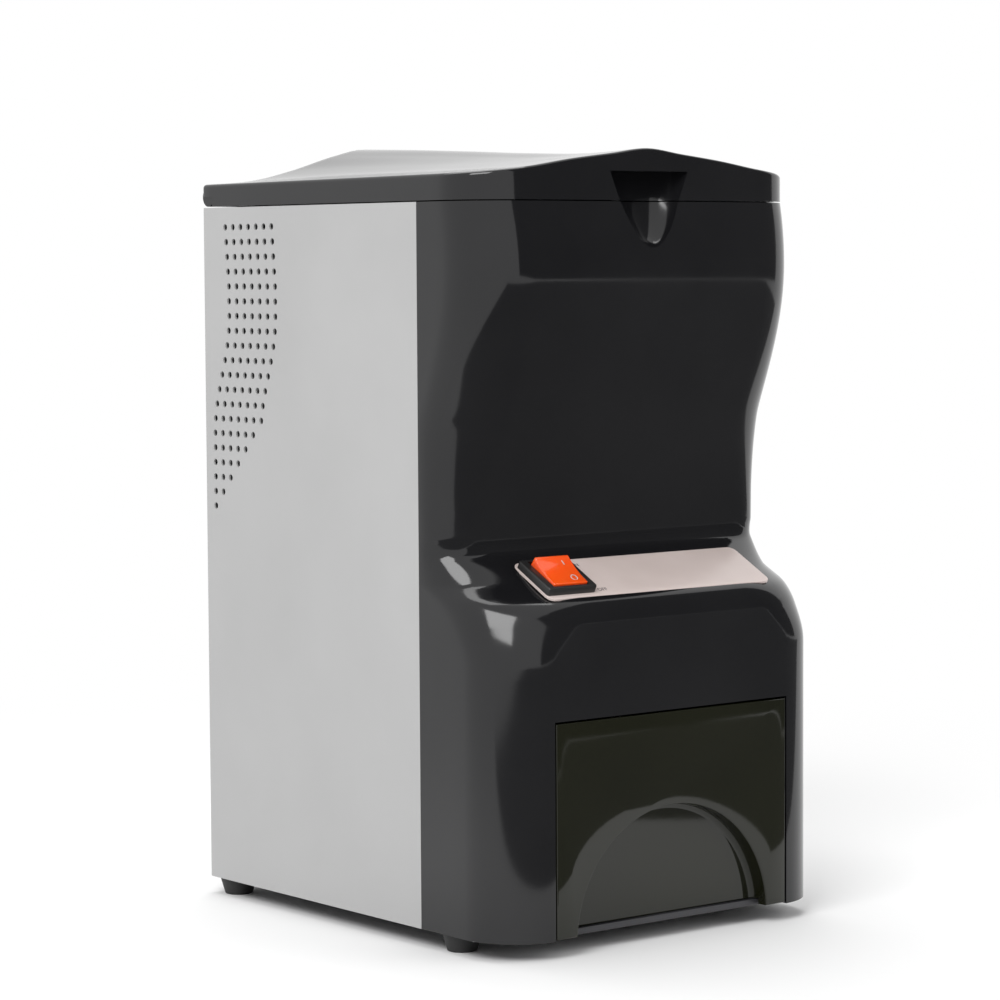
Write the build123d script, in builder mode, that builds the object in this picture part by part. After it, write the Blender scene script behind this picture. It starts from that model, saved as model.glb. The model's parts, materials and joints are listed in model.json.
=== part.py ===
from build123d import *
import os
from math import asin, cos, hypot, pi, radians, sin, sqrt, tan

# Electric counter-top ice crusher. +Z is up, the front faces -Y, and the origin is
# on the resting surface, under the middle of the overall box. Millimetres.

# ---- Driving dimensions ------------------------------------------------------------
WIDTH = 210.0
BODY_DEPTH = 253.4
GLAND_PROUD = 4.0  # how far the cord gland stands out of the back
FOOT_HEIGHT = 9.0
CASING_TOP = 361.3  # top edge of the casing and of the sheet
LID_BOTTOM = 361.9
SHEET_SETBACK = 66.8  # from the lower front to the front edge of the side sheet
SHEET = 1.0
WALL = 3.0  # moulded wall thickness

HALF = WIDTH / 2
FRONT_Y = -(BODY_DEPTH + GLAND_PROUD) / 2
BACK_Y = FRONT_Y + BODY_DEPTH
SHEET_FRONT_Y = FRONT_Y + SHEET_SETBACK
BASE_Z = FOOT_HEIGHT
BASE_THICK = 3.0
FLOOR_Z = BASE_Z + BASE_THICK
CORNER = 32.0  # plan radius of the casing's front corners

# Side profile of the front, as seen from the left: block, console, waist and bulge
CONSOLE_SLOPE = 27.4
CONSOLE_EDGE_Z = 160.0  # where the block starts to round over into the console
CONSOLE_EDGE_RADIUS = 13.3
WAIST_DEPTH = 47.6  # from the lower front back to the waist
WAIST_RADIUS = 8.0
BULGE_DEPTH = 14.3  # from the lower front back to the upper bulge
BULGE_Z = 331.0
TOP_LEAN = 3.1

# Bin and its opening in the casing
OPENING_HALF = 75.0
OPENING_TOP = 114.3
BIN_HALF = 74.2
BIN_TOP = 113.3
BIN_DEPTH = 165.0
BIN_WALL = 2.5
ARCH_RADIUS = 61.5
ARCH_Z = 6.0
ARCH_DEPTH = 10.0

# Crusher: the rotor's axis runs front to back
ROTOR_Z = 222.0
SHAFT_R = 7.0
RUNNING = 0.05  # radial clearance of a shaft in its bush
CHAMBER_FRONT = -74.0
CHAMBER_BACK = 0.0
CHAMBER_HALF = 56.0
CHAMBER_WALL = 6.0
CHAMBER_BOTTOM = 182.0
CHAMBER_TOP = 262.0
BLADE_COUNT = 5
BLADE_PITCH = 12.0
BLADE_THICK = 5.0
BLADE_TIP_R = 40.0
DECK_Z = 119.0  # top of the chassis

# Gear pair and motor
MODULE = 1.6
GEAR_TEETH = 56
PINION_TEETH = 14
MOTOR_Z = ROTOR_Z + MODULE * (GEAR_TEETH + PINION_TEETH) / 2
GEAR_Y = 8.0
GEAR_WIDTH = 10.0
CASE_DEPTH = 24.0
COVER_THICK = 4.0
MOTOR_FRONT = CHAMBER_BACK + CASE_DEPTH + COVER_THICK
MOTOR_LENGTH = 62.0
MOTOR_R = 44.0
MOTOR_SHAFT_R = 4.0

# Lid hinge, along X
HINGE_R = 5.0
HINGE_Y = BACK_Y - HINGE_R
HINGE_Z = LID_BOTTOM + HINGE_R
HINGE_PIN_R = 2.0
HINGE_PIN_LENGTH = 26.0
BRACKET_X = 66.0
BRACKET_WIDTH = 12.0

# Label plate and rocker switch on the console
LABEL_WIDTH = 143.0
LABEL_LENGTH = 33.0
LABEL_THICK = 1.2
LABEL_POCKET = 1.0
SWITCH_X = -56.0
FRAME_WIDTH = 30.0
FRAME_LENGTH = 27.0
FRAME_HEIGHT = 3.8
BLOCK_WIDTH = 26.8
BLOCK_LENGTH = 25.2
ROCKER_TILT = 11.0

# Screws and cord gland in the back sheet
SCREW_GAP = 0.1  # screws stand this clear in their holes
PANEL_SCREW_R = 1.75
M5_R = 2.5
panel_screw_places = [(x, 19.0) for x in (-85.0, 0.0, 85.0)]
hinge_screw_places = [(x, 344.0) for x in (-BRACKET_X, BRACKET_X)]
GLAND_PLACE = (-60.0, 46.0)
GLAND_BORE = 3.6
GLAND_NECK = 8.0
NECK_SIDES = 12  # the gland's neck and its holes are twelve-sided

os.makedirs("parts", exist_ok=True)


def finish(name, part):
    """Label a finished piece and write it to its own file."""
    part.label = name
    export_step(part, f"parts/{name}.step")


# ---- The casing's outer form -------------------------------------------------------
slope = radians(CONSOLE_SLOPE)
waist_y = FRONT_Y + WAIST_DEPTH
bulge_y = FRONT_Y + BULGE_DEPTH
# The console's straight slope starts where the front edge's arc ends
edge_centre_y = FRONT_Y + CONSOLE_EDGE_RADIUS
slope_start_y = edge_centre_y - CONSOLE_EDGE_RADIUS * sin(slope)
slope_start_z = CONSOLE_EDGE_Z + CONSOLE_EDGE_RADIUS * cos(slope)


def slope_z(y):
    """Height of the console's straight slope above a given y."""
    return slope_start_z + (y - slope_start_y) * tan(slope)


waist_tangent = WAIST_RADIUS * tan((pi / 2 - slope) / 2)
slope_end_z = slope_z(waist_y) - waist_tangent * sin(slope)
waist_z = slope_z(waist_y) + waist_tangent


def front_y(z):
    """Y of the casing's front at height z, on the centre line."""
    if z <= CONSOLE_EDGE_Z:
        return FRONT_Y
    if z <= slope_start_z:
        return edge_centre_y - sqrt(CONSOLE_EDGE_RADIUS**2 - (z - CONSOLE_EDGE_Z) ** 2)
    if z <= slope_end_z:
        return slope_start_y + (z - slope_start_z) / tan(slope)
    if z <= waist_z:
        return waist_y - WAIST_RADIUS + sqrt(WAIST_RADIUS**2 - (z - waist_z) ** 2)
    if z <= BULGE_Z:
        turn = pi * (z - waist_z) / (BULGE_Z - waist_z)
        return waist_y + (bulge_y - waist_y) * (1 - cos(turn)) / 2
    return bulge_y + TOP_LEAN * ((z - BULGE_Z) / 30) ** 2


def skin_y(z, depth):
    """Y, at height z, of the curve that lies the given depth inside the front."""
    low, high = z - depth, z + depth
    for _ in range(40):
        middle = (low + high) / 2
        lean = (front_y(middle + 0.01) - front_y(middle - 0.01)) / 0.02
        if middle - depth * lean / hypot(1, lean) < z:
            low = middle
        else:
            high = middle
    lean = (front_y(low + 0.01) - front_y(low - 0.01)) / 0.02
    return front_y(low) + depth / hypot(1, lean)


def ease(z, start, end, first, last):
    """Smooth change from first to last between two heights."""
    share = min(max((z - start) / (end - start), 0), 1)
    return first + (last - first) * (1 - cos(pi * share)) / 2


CONSOLE_CORNER = (55.0, 48.0)  # the corner's reach in X and Y at mid console
WAIST_CORNER = (19.0, 18.0)
CONSOLE_MID_Z = 176.0
WAIST_END_Z = 200.0
UPPER_CORNER_Z = 262.0


def corner_reach(z, axis):
    """Reach of the rounded front corner along X (axis 0) or Y (axis 1) at height z."""
    if z < CONSOLE_MID_Z:
        return ease(z, LOWER_TOP, CONSOLE_MID_Z, CORNER, CONSOLE_CORNER[axis])
    if z < WAIST_END_Z:
        return ease(z, CONSOLE_MID_Z, WAIST_END_Z, CONSOLE_CORNER[axis], WAIST_CORNER[axis])
    return ease(z, WAIST_END_Z, UPPER_CORNER_Z, WAIST_CORNER[axis], CORNER)


LOWER_TOP = 140.0  # up to here the casing is a straight prism
INNER_FACETS = 4  # facets of each corner inside the skin


def casing_outline(z, inset=0.0, rear=SHEET_FRONT_Y, at_z=None):
    """Plan outline of the casing at height z; inside the skin its corners are faceted."""
    half = HALF - inset
    front = skin_y(z, inset) if inset else front_y(z)
    reach_x = corner_reach(z, 0) - inset * 0.9
    reach_y = min(corner_reach(z, 1) - inset * 0.9, SHEET_FRONT_Y - front - 0.6)
    turns = [radians(90 * i / INNER_FACETS) for i in range(INNER_FACETS + 1)]
    corner = [(-half + reach_x * (1 - cos(turn)), front + reach_y * (1 - sin(turn))) for turn in turns]
    with BuildSketch(Plane.XY.offset(z if at_z is None else at_z)) as outline:
        if inset:
            Polygon((-half, rear), *corner, *[(-x, y) for x, y in reversed(corner)], (half, rear), align=None)
        else:
            with BuildLine():
                Line((-half, rear), (-half, front + reach_y))
                EllipticalCenterArc((-half + reach_x, front + reach_y), reach_x, reach_y, 180, arc_size=90)
                Line((-half + reach_x, front), (half - reach_x, front))
                EllipticalCenterArc((half - reach_x, front + reach_y), reach_x, reach_y, 270, arc_size=90)
                Line((half, front + reach_y), (half, rear))
                Line((half, rear), (-half, rear))
            make_face()
    return outline.sketch


def steps_between(start, end, count):
    """Heights from start up to, but without, end."""
    return [start + (end - start) * i / count for i in range(count)]


def section_heights(fineness):
    """Heights of the casing's sections, closer together where its profile turns."""
    heights = steps_between(LOWER_TOP, CONSOLE_EDGE_Z, fineness)
    heights += steps_between(CONSOLE_EDGE_Z, slope_start_z, fineness + 1)
    heights += steps_between(slope_start_z, slope_end_z, fineness + 1)
    heights += steps_between(slope_end_z, waist_z, fineness + 1)
    heights += steps_between(waist_z, BULGE_Z, 3 * fineness)
    heights += steps_between(BULGE_Z, CASING_TOP, fineness)
    return heights + [CASING_TOP]


def casing_form(inset, overshoot, rear):
    """Solid inside the casing's skin: a prism below and straight bands above."""
    heights = section_heights(1 if inset else 2)
    with BuildPart() as form:
        add(casing_outline(BASE_Z, inset, rear, BASE_Z - overshoot))
        extrude(amount=LOWER_TOP - BASE_Z + overshoot)
        loft(sections=[casing_outline(z, inset, rear) for z in heights], ruled=True)
        if overshoot:
            add(casing_outline(CASING_TOP, inset, rear))
            extrude(amount=overshoot)
    return form.part


# ---- Finger scoop, shared by the casing and the lid ---------------------------------
SCOOP_AXIS_Y = front_y(CASING_TOP) - 6.7
SCOOP_TIP_Z = 338.0
SCOOP_CEILING = 374.0
SCOOP_PROFILE = [(4.5, 339.2), (9.5, 343.2), (14.5, 350.4), (19.7, 361.0), (23.3, 370.0), (26.0, 378.0)]


def scoop_form(thick, top):
    """Round bowl about a vertical axis, thicker by a wall where it backs the scoop."""
    with BuildPart() as bowl:
        with BuildSketch(Plane.XZ.offset(-SCOOP_AXIS_Y)):
            side = [(r + thick, z) for r, z in SCOOP_PROFILE]
            Polygon((0, SCOOP_TIP_Z - thick), *side, (0, 378.0), align=None)
        revolve(axis=Axis((0, SCOOP_AXIS_Y, 0), (0, 0, 1)))
        split(bisect_by=Plane.XY.offset(top), keep=Keep.BOTTOM)
    return bowl.part


# ---- front_casing --------------------------------------------------------------------
console_mid_y = (slope_start_y + waist_y) / 2 - 5.2
console_mid = (0, console_mid_y, slope_z(console_mid_y))
console = Plane(origin=console_mid, x_dir=(1, 0, 0), z_dir=(0, -sin(slope), cos(slope)))
outer_form = casing_form(0.0, 0.0, SHEET_FRONT_Y)
inner_form = casing_form(WALL, 2.0, SHEET_FRONT_Y + 1)
with BuildPart() as scoop_backing:
    add(scoop_form(WALL, CASING_TOP))
    add(outer_form, mode=Mode.INTERSECT)

TONGUE = 10.0  # the casing's tongue runs this far behind the sheet
BOSS_X = 95.5
BOSS_Y = FRONT_Y + 34.0
BOSS_SCREW_R = 1.85
LEDGE_Z = CASING_TOP - 2.5  # the hopper's deck lies on the ledge
LEDGE_WIDTH = 6.0
with BuildPart() as front_casing:
    add(outer_form)
    add(inner_form, mode=Mode.SUBTRACT)
    add(scoop_backing.part)
    add(scoop_form(0.0, CASING_TOP + 1), mode=Mode.SUBTRACT)
    # Opening of the bin, open at the bottom edge
    with BuildSketch(Plane.XZ.offset(-FRONT_Y + 2)):
        with Locations((0, (OPENING_TOP + BASE_Z) / 2 - 2)):
            Rectangle(2 * OPENING_HALF, OPENING_TOP - BASE_Z + 4)
    extrude(amount=-10, mode=Mode.SUBTRACT)
    # Label pocket and the switch's cut-out in the console
    with BuildSketch(console.offset(-LABEL_POCKET)):
        pocket = Rectangle(LABEL_WIDTH + 0.4, LABEL_LENGTH + 0.4)
        chamfer(pocket.vertices(), length=2.6)
    extrude(amount=LABEL_POCKET + 4, mode=Mode.SUBTRACT)
    with BuildSketch(console.offset(-WALL - 2)):
        with Locations((SWITCH_X, 0)):
            Rectangle(BLOCK_WIDTH + 0.4, BLOCK_LENGTH + 0.4)
    extrude(amount=8, mode=Mode.SUBTRACT)
    # Tongues that the side sheets lie on
    with BuildSketch(Plane.XY.offset(FLOOR_Z + 0.5)):
        tongue_y = SHEET_FRONT_Y + TONGUE / 2 - 1
        with Locations((HALF - SHEET - 1.5, tongue_y), (-HALF + SHEET + 1.5, tongue_y)):
            Rectangle(3.0, TONGUE + 2)
    extrude(amount=LEDGE_Z - FLOOR_Z - 0.5 - SHEET)
    # Screw bosses at the bottom corners
    with BuildSketch(Plane.XY.offset(FLOOR_Z)):
        with Locations((BOSS_X, BOSS_Y), (-BOSS_X, BOSS_Y)):
            RegularPolygon(7.5, 8)
            RegularPolygon(BOSS_SCREW_R + SCREW_GAP, 6, mode=Mode.SUBTRACT)
    extrude(amount=28)
    # Ledge round the top
    with BuildSketch(Plane.XY.offset(LEDGE_Z - 3)):
        add(casing_outline(CASING_TOP, 1.5, SHEET_FRONT_Y, LEDGE_Z - 3))
        ledge_inset = WALL + LEDGE_WIDTH
        add(casing_outline(CASING_TOP, ledge_inset, SHEET_FRONT_Y + 1, LEDGE_Z - 3), mode=Mode.SUBTRACT)
    extrude(amount=3)
    add(scoop_form(0.0, CASING_TOP + 1), mode=Mode.SUBTRACT)
finish("front_casing", front_casing.part)

# ---- wrap_panel ----------------------------------------------------------------------
VENT_PITCH_Y = 7.0
VENT_PITCH_Z = 7.63
VENT_RADIUS = 2.0  # to the corners of a hole
VENT_TOP_Z = 351.0
VENT_REAR_Y = 99.8  # rear-most hole of the middle rows
VENT_REAR_BOW = 14.2  # how much further back the field reaches at its foot
VENT_COUNTS = [7] * 14 + [6, 5, 4, 3, 2, 1]  # holes in each row, from the top down


def vent_centres():
    """(y, z) of each vent hole of the side sheet: a field with an S-shaped rear edge."""
    centres = []
    for row, count in enumerate(VENT_COUNTS):
        bow = ease(row, 6, 14, 0, VENT_REAR_BOW)
        rear = VENT_REAR_Y + bow + 0.7 * max(4 - row, 0)
        z = VENT_TOP_Z - row * VENT_PITCH_Z
        centres += [(rear - i * VENT_PITCH_Y, z) for i in range(count)]
    return centres


bend = 3.0
with BuildPart() as wrap_panel:
    with BuildSketch(Plane.XY.offset(BASE_Z)):
        with BuildLine():
            FilletPolyline(
                (-HALF, SHEET_FRONT_Y),
                (-HALF, BACK_Y),
                (HALF, BACK_Y),
                (HALF, SHEET_FRONT_Y),
                radius=bend,
            )
            Line((HALF, SHEET_FRONT_Y), (HALF - SHEET, SHEET_FRONT_Y))
            FilletPolyline(
                (HALF - SHEET, SHEET_FRONT_Y),
                (HALF - SHEET, BACK_Y - SHEET),
                (-HALF + SHEET, BACK_Y - SHEET),
                (-HALF + SHEET, SHEET_FRONT_Y),
                radius=bend - SHEET,
            )
            Line((-HALF + SHEET, SHEET_FRONT_Y), (-HALF, SHEET_FRONT_Y))
        make_face()
    extrude(amount=CASING_TOP - BASE_Z)
    # Flanges folded inwards along the top of both sides carry the hopper's deck
    flange_x = HALF - SHEET - 4
    flange_length = HINGE_Y - 6 - SHEET_FRONT_Y
    with BuildSketch(Plane.XY.offset(LEDGE_Z - SHEET)):
        flange_y = SHEET_FRONT_Y + flange_length / 2
        with Locations((flange_x, flange_y), (-flange_x, flange_y)):
            Rectangle(10, flange_length)
    extrude(amount=SHEET)
    # Vent holes through the left side
    with BuildSketch(Plane.YZ.offset(-HALF - 1)):
        with Locations(*vent_centres()):
            RegularPolygon(VENT_RADIUS, 4)
    extrude(amount=SHEET + 2, mode=Mode.SUBTRACT)
    # Holes for the screws and the cord gland in the back
    with BuildSketch(Plane.XZ.offset(-BACK_Y - 1)):
        with Locations(*panel_screw_places, *hinge_screw_places):
            RegularPolygon(PANEL_SCREW_R + SCREW_GAP, 6)
        with Locations(GLAND_PLACE):
            RegularPolygon(GLAND_NECK + SCREW_GAP, NECK_SIDES)
    extrude(amount=4, mode=Mode.SUBTRACT)
finish("wrap_panel", wrap_panel.part)

# ---- base_plate ----------------------------------------------------------------------
FOOT_X = 94.0
FOOT_FRONT_Y = FRONT_Y + 48.8
FOOT_BACK_Y = BACK_Y - 11.6
feet_places = [(x, y) for x in (-FOOT_X, FOOT_X) for y in (FOOT_FRONT_Y, FOOT_BACK_Y)]
FOOT_SCREW_R = 2.0
FLANGE_HEIGHT = 14.0
FLANGE_THICK = 2.0
CHASSIS_FOOT_X = 92.0
chassis_feet = [(x, y) for x in (-CHASSIS_FOOT_X, CHASSIS_FOOT_X) for y in (-50.0, 84.0)]
BASE_FRONT_Y = FRONT_Y + 7.3  # the front edge, behind the bin's front wall
BASE_REAR_Y = BACK_Y - SHEET
side_flange_length = 160.0
with BuildPart() as base_plate:
    with BuildSketch(Plane.XY.offset(BASE_Z)):
        add(casing_outline(BASE_Z, WALL + 0.4, SHEET_FRONT_Y + 1))
        with Locations((0, (SHEET_FRONT_Y + 1 + BASE_REAR_Y) / 2)):
            Rectangle(2 * (HALF - SHEET), BASE_REAR_Y - SHEET_FRONT_Y - 1)
        with Locations((0, BASE_FRONT_Y - 10)):
            Rectangle(2 * OPENING_HALF + 4, 20, mode=Mode.SUBTRACT)
    extrude(amount=BASE_THICK)
    # Flanges folded up along the sides and the back
    with BuildSketch(Plane.XY.offset(FLOOR_Z)):
        flange_x = HALF - SHEET - FLANGE_THICK / 2
        flange_y = BASE_REAR_Y - 4 - side_flange_length / 2
        with Locations((-flange_x, flange_y), (flange_x, flange_y)):
            Rectangle(FLANGE_THICK, side_flange_length)
        with Locations((0, BASE_REAR_Y - FLANGE_THICK / 2)):
            Rectangle(2 * HALF - 16, FLANGE_THICK)
    extrude(amount=FLANGE_HEIGHT)
    fillet(base_plate.edges().filter_by(Axis.Z).group_by(Axis.Y)[-1].sort_by(Axis.X)[0], radius=bend - SHEET)
    fillet(base_plate.edges().filter_by(Axis.Z).group_by(Axis.Y)[-1].sort_by(Axis.X)[-1], radius=bend - SHEET)
    with BuildSketch(Plane.XY.offset(BASE_Z)):
        with Locations(*feet_places):
            RegularPolygon(FOOT_SCREW_R + SCREW_GAP, 6)
        with Locations(*chassis_feet):
            RegularPolygon(M5_R + SCREW_GAP, 6)
        with Locations((BOSS_X, BOSS_Y), (-BOSS_X, BOSS_Y)):
            RegularPolygon(BOSS_SCREW_R + SCREW_GAP, 6)
    extrude(amount=BASE_THICK, mode=Mode.SUBTRACT)
    with BuildSketch(Plane.XZ.offset(-BASE_REAR_Y - 1)):
        with Locations(*panel_screw_places):
            RegularPolygon(PANEL_SCREW_R + SCREW_GAP, 6)
    extrude(amount=FLANGE_THICK + 2, mode=Mode.SUBTRACT)
finish("base_plate", base_plate.part)

# ---- feet and the fasteners of the base ------------------------------------------------
FOOT_TOP_R = 9.7
FOOT_TIP_R = 7.6
FOOT_SIDES = 20
with BuildPart() as feet:
    for foot_x, foot_y in feet_places:
        foot_sections = []
        for z, radius in ((0, FOOT_TIP_R), (FOOT_HEIGHT, FOOT_TOP_R)):
            with BuildSketch(Plane.XY.offset(z)) as foot_section:
                with Locations((foot_x, foot_y)):
                    RegularPolygon(radius, FOOT_SIDES)
            foot_sections.append(foot_section.sketch)
        loft(sections=foot_sections, ruled=True)
finish("feet", feet.part)

BOTTOM = (Align.CENTER, Align.CENTER, Align.MIN)


def screws_on(plane, places, head_r, head_height, shank_r, length):
    """Hexagon head screws: heads on the plane, six-sided shanks going into it."""
    with BuildPart() as screws:
        with BuildSketch(plane):
            with Locations(*places):
                RegularPolygon(head_r, 6)
        extrude(amount=head_height)
        with BuildSketch(plane):
            with Locations(*places):
                RegularPolygon(shank_r, 6)
        extrude(amount=-length)
    return screws.part


# Each foot is moulded round the head of its stud, and the stud stands out of its top
with BuildPart() as foot_screws:
    with BuildSketch(Plane.XY.offset(BASE_Z)):
        with Locations(*feet_places):
            RegularPolygon(FOOT_SCREW_R, 6)
    extrude(amount=7.5)
finish("foot_screws", foot_screws.part)

with BuildPart() as foot_nuts:
    with BuildSketch(Plane.XY.offset(FLOOR_Z)):
        with Locations(*feet_places):
            RegularPolygon(4.0, 6)
            RegularPolygon(FOOT_SCREW_R + RUNNING, 6, mode=Mode.SUBTRACT)
    extrude(amount=3.2)
finish("foot_nuts", foot_nuts.part)

base_underside = Plane(origin=(0, 0, BASE_Z), x_dir=(1, 0, 0), z_dir=(0, 0, -1))
casing_screw_places = [(BOSS_X, -BOSS_Y), (-BOSS_X, -BOSS_Y)]
finish("casing_screws", screws_on(base_underside, casing_screw_places, 3.5, 2.0, BOSS_SCREW_R, 22.0))

# ---- chassis: a folded steel bridge over the bin ---------------------------------------
CHASSIS_FRONT_Y = -75.0
CHASSIS_BACK_Y = 108.0
CHASSIS_HALF = 84.0
CHASSIS_SHEET = 2.0
CHASSIS_FOOT = 16.0
CHUTE_HALF = 52.0
CHUTE_FRONT = CHAMBER_FRONT + 4
CHUTE_BACK = CHAMBER_BACK - 4
BRACKET_FOOT_X = 70.0
bracket_feet = [(x, y) for x in (-BRACKET_FOOT_X, BRACKET_FOOT_X) for y in (-52.0, -22.0)]
CRADLE_Y = 52.0
CRADLE_THICK = 4.0
cradle_feet = [(x, CRADLE_Y + CRADLE_THICK + 9) for x in (-25.0, 25.0)]
with BuildPart() as chassis:
    with BuildSketch(Plane.XZ.offset(-CHASSIS_FRONT_Y)):
        with BuildLine():
            Polyline(
                (-CHASSIS_HALF - CHASSIS_FOOT, FLOOR_Z),
                (-CHASSIS_HALF + CHASSIS_SHEET, FLOOR_Z),
                (-CHASSIS_HALF + CHASSIS_SHEET, DECK_Z - CHASSIS_SHEET),
                (CHASSIS_HALF - CHASSIS_SHEET, DECK_Z - CHASSIS_SHEET),
                (CHASSIS_HALF - CHASSIS_SHEET, FLOOR_Z),
                (CHASSIS_HALF + CHASSIS_FOOT, FLOOR_Z),
                (CHASSIS_HALF + CHASSIS_FOOT, FLOOR_Z + CHASSIS_SHEET),
                (CHASSIS_HALF, FLOOR_Z + CHASSIS_SHEET),
                (CHASSIS_HALF, DECK_Z),
                (-CHASSIS_HALF, DECK_Z),
                (-CHASSIS_HALF, FLOOR_Z + CHASSIS_SHEET),
                (-CHASSIS_HALF - CHASSIS_FOOT, FLOOR_Z + CHASSIS_SHEET),
                close=True,
            )
        make_face()
    extrude(amount=-(CHASSIS_BACK_Y - CHASSIS_FRONT_Y))
    fillet(
        chassis.edges().filter_by(Axis.Y).group_by(Axis.Z)[-1],
        radius=CHASSIS_SHEET,
    )
    with BuildSketch(Plane.XY.offset(DECK_Z - CHASSIS_SHEET)):
        with Locations((0, (CHUTE_FRONT + CHUTE_BACK) / 2)):
            Rectangle(2 * CHUTE_HALF, CHUTE_BACK - CHUTE_FRONT)
        with Locations(*bracket_feet, *cradle_feet):
            RegularPolygon(M5_R + SCREW_GAP, 6)
    extrude(amount=CHASSIS_SHEET, mode=Mode.SUBTRACT)
    with BuildSketch(Plane.XY.offset(FLOOR_Z)):
        with Locations(*chassis_feet):
            RegularPolygon(M5_R + SCREW_GAP, 6)
    extrude(amount=CHASSIS_SHEET, mode=Mode.SUBTRACT)
finish("chassis", chassis.part)
chassis_foot_top = Plane.XY.offset(FLOOR_Z + CHASSIS_SHEET)
finish("chassis_screws", screws_on(chassis_foot_top, chassis_feet, 4.5, 3.0, M5_R, 4.8))

# ---- bin_runners -----------------------------------------------------------------------
RUNNER_GAP = 0.8
with BuildPart() as bin_runners:
    with BuildSketch(Plane.XY.offset(FLOOR_Z)):
        with Locations((-BIN_HALF - RUNNER_GAP - 2, -40), (BIN_HALF + RUNNER_GAP + 2, -40)):
            Rectangle(4, 150)
    extrude(amount=9)
finish("bin_runners", bin_runners.part)

# ---- ice_bin: smoked drawer with an arched finger recess ---------------------------------
BIN_FLOOR_Z = FLOOR_Z + 0.4
BIN_SKIRT_Z = BASE_Z + 0.6
bin_mid_y = FRONT_Y + BIN_DEPTH / 2


def arch_cylinder(radius, depth):
    """Cylinder of the arch on the bin's front, running in from the front face."""
    with BuildPart() as cylinder:
        with BuildSketch(Plane.XZ.offset(-FRONT_Y + 1)):
            with Locations((0, ARCH_Z)):
                Circle(radius)
        extrude(amount=-depth - 1)
    return cylinder.part


with BuildPart() as bin_cavity:
    with BuildSketch(Plane.XY.offset(BIN_FLOOR_Z + BIN_WALL)):
        with Locations((0, bin_mid_y)):
            RectangleRounded(2 * (BIN_HALF - BIN_WALL), BIN_DEPTH - 2 * BIN_WALL, 5.5)
    extrude(amount=BIN_TOP)
    add(arch_cylinder(ARCH_RADIUS + BIN_WALL, ARCH_DEPTH + BIN_WALL), mode=Mode.SUBTRACT)
with BuildPart() as arch_recess:
    add(arch_cylinder(ARCH_RADIUS, ARCH_DEPTH))
    chamfer(arch_recess.edges().filter_by(GeomType.CIRCLE).sort_by(Axis.Y)[-1], length=2.5)
with BuildPart() as ice_bin:
    with BuildSketch(Plane.XY.offset(BIN_FLOOR_Z)):
        with Locations((0, bin_mid_y)):
            Rectangle(2 * BIN_HALF, BIN_DEPTH)
    extrude(amount=BIN_TOP - BIN_FLOOR_Z)
    with BuildSketch(Plane.XY.offset(BIN_SKIRT_Z)):
        with Locations((0, FRONT_Y + 3)):
            Rectangle(2 * BIN_HALF, 6)
    extrude(amount=BIN_FLOOR_Z - BIN_SKIRT_Z)
    fillet(ice_bin.edges().filter_by(Axis.Z).group_by(Axis.Y)[-1], radius=8)
    add(bin_cavity.part, mode=Mode.SUBTRACT)
    add(arch_recess.part, mode=Mode.SUBTRACT)
finish("ice_bin", ice_bin.part)

# ---- discharge_chute, crush_housing and what carries it ----------------------------------
chamber_mid = (CHAMBER_FRONT + CHAMBER_BACK) / 2
chamber_depth = CHAMBER_BACK - CHAMBER_FRONT
with BuildPart() as discharge_chute:
    with BuildSketch(Plane.XY.offset(DECK_Z)):
        with Locations((0, chamber_mid)):
            Rectangle(2 * CHAMBER_HALF, chamber_depth)
            Rectangle(2 * CHUTE_HALF, CHUTE_BACK - CHUTE_FRONT, mode=Mode.SUBTRACT)
    extrude(amount=CHAMBER_BOTTOM - DECK_Z)
finish("discharge_chute", discharge_chute.part)

BUSH_R = 11.0
BUSH_SIDES = 8  # flats keep the bushes from turning in their seats
chamber_inner_half = CHAMBER_HALF - CHAMBER_WALL
housing_screw_places = [(y, z) for y in (-50.0, -24.0) for z in (196.0, 248.0)]
with BuildPart() as crush_housing:
    with BuildSketch(Plane.XY.offset(CHAMBER_BOTTOM)):
        with Locations((0, chamber_mid)):
            Rectangle(2 * CHAMBER_HALF, chamber_depth)
            Rectangle(2 * chamber_inner_half, chamber_depth - 2 * CHAMBER_WALL, mode=Mode.SUBTRACT)
    extrude(amount=CHAMBER_TOP - CHAMBER_BOTTOM)
    chamfer(crush_housing.edges().filter_by(Axis.Z).group_by(Axis.X)[0], length=3)
    chamfer(crush_housing.edges().filter_by(Axis.Z).group_by(Axis.X)[-1], length=3)
    with BuildSketch(Plane.XZ.offset(-CHAMBER_FRONT)):
        with Locations((0, ROTOR_Z)):
            RegularPolygon(BUSH_R, BUSH_SIDES)
    extrude(amount=-chamber_depth, mode=Mode.SUBTRACT)
    with BuildSketch(Plane.YZ.offset(-CHAMBER_HALF)):
        with Locations(*housing_screw_places):
            RegularPolygon(M5_R + SCREW_GAP, 6)
    extrude(amount=5, mode=Mode.SUBTRACT)
    with BuildSketch(Plane.YZ.offset(CHAMBER_HALF)):
        with Locations(*housing_screw_places):
            RegularPolygon(M5_R + SCREW_GAP, 6)
    extrude(amount=-5, mode=Mode.SUBTRACT)
finish("crush_housing", crush_housing.part)

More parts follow.
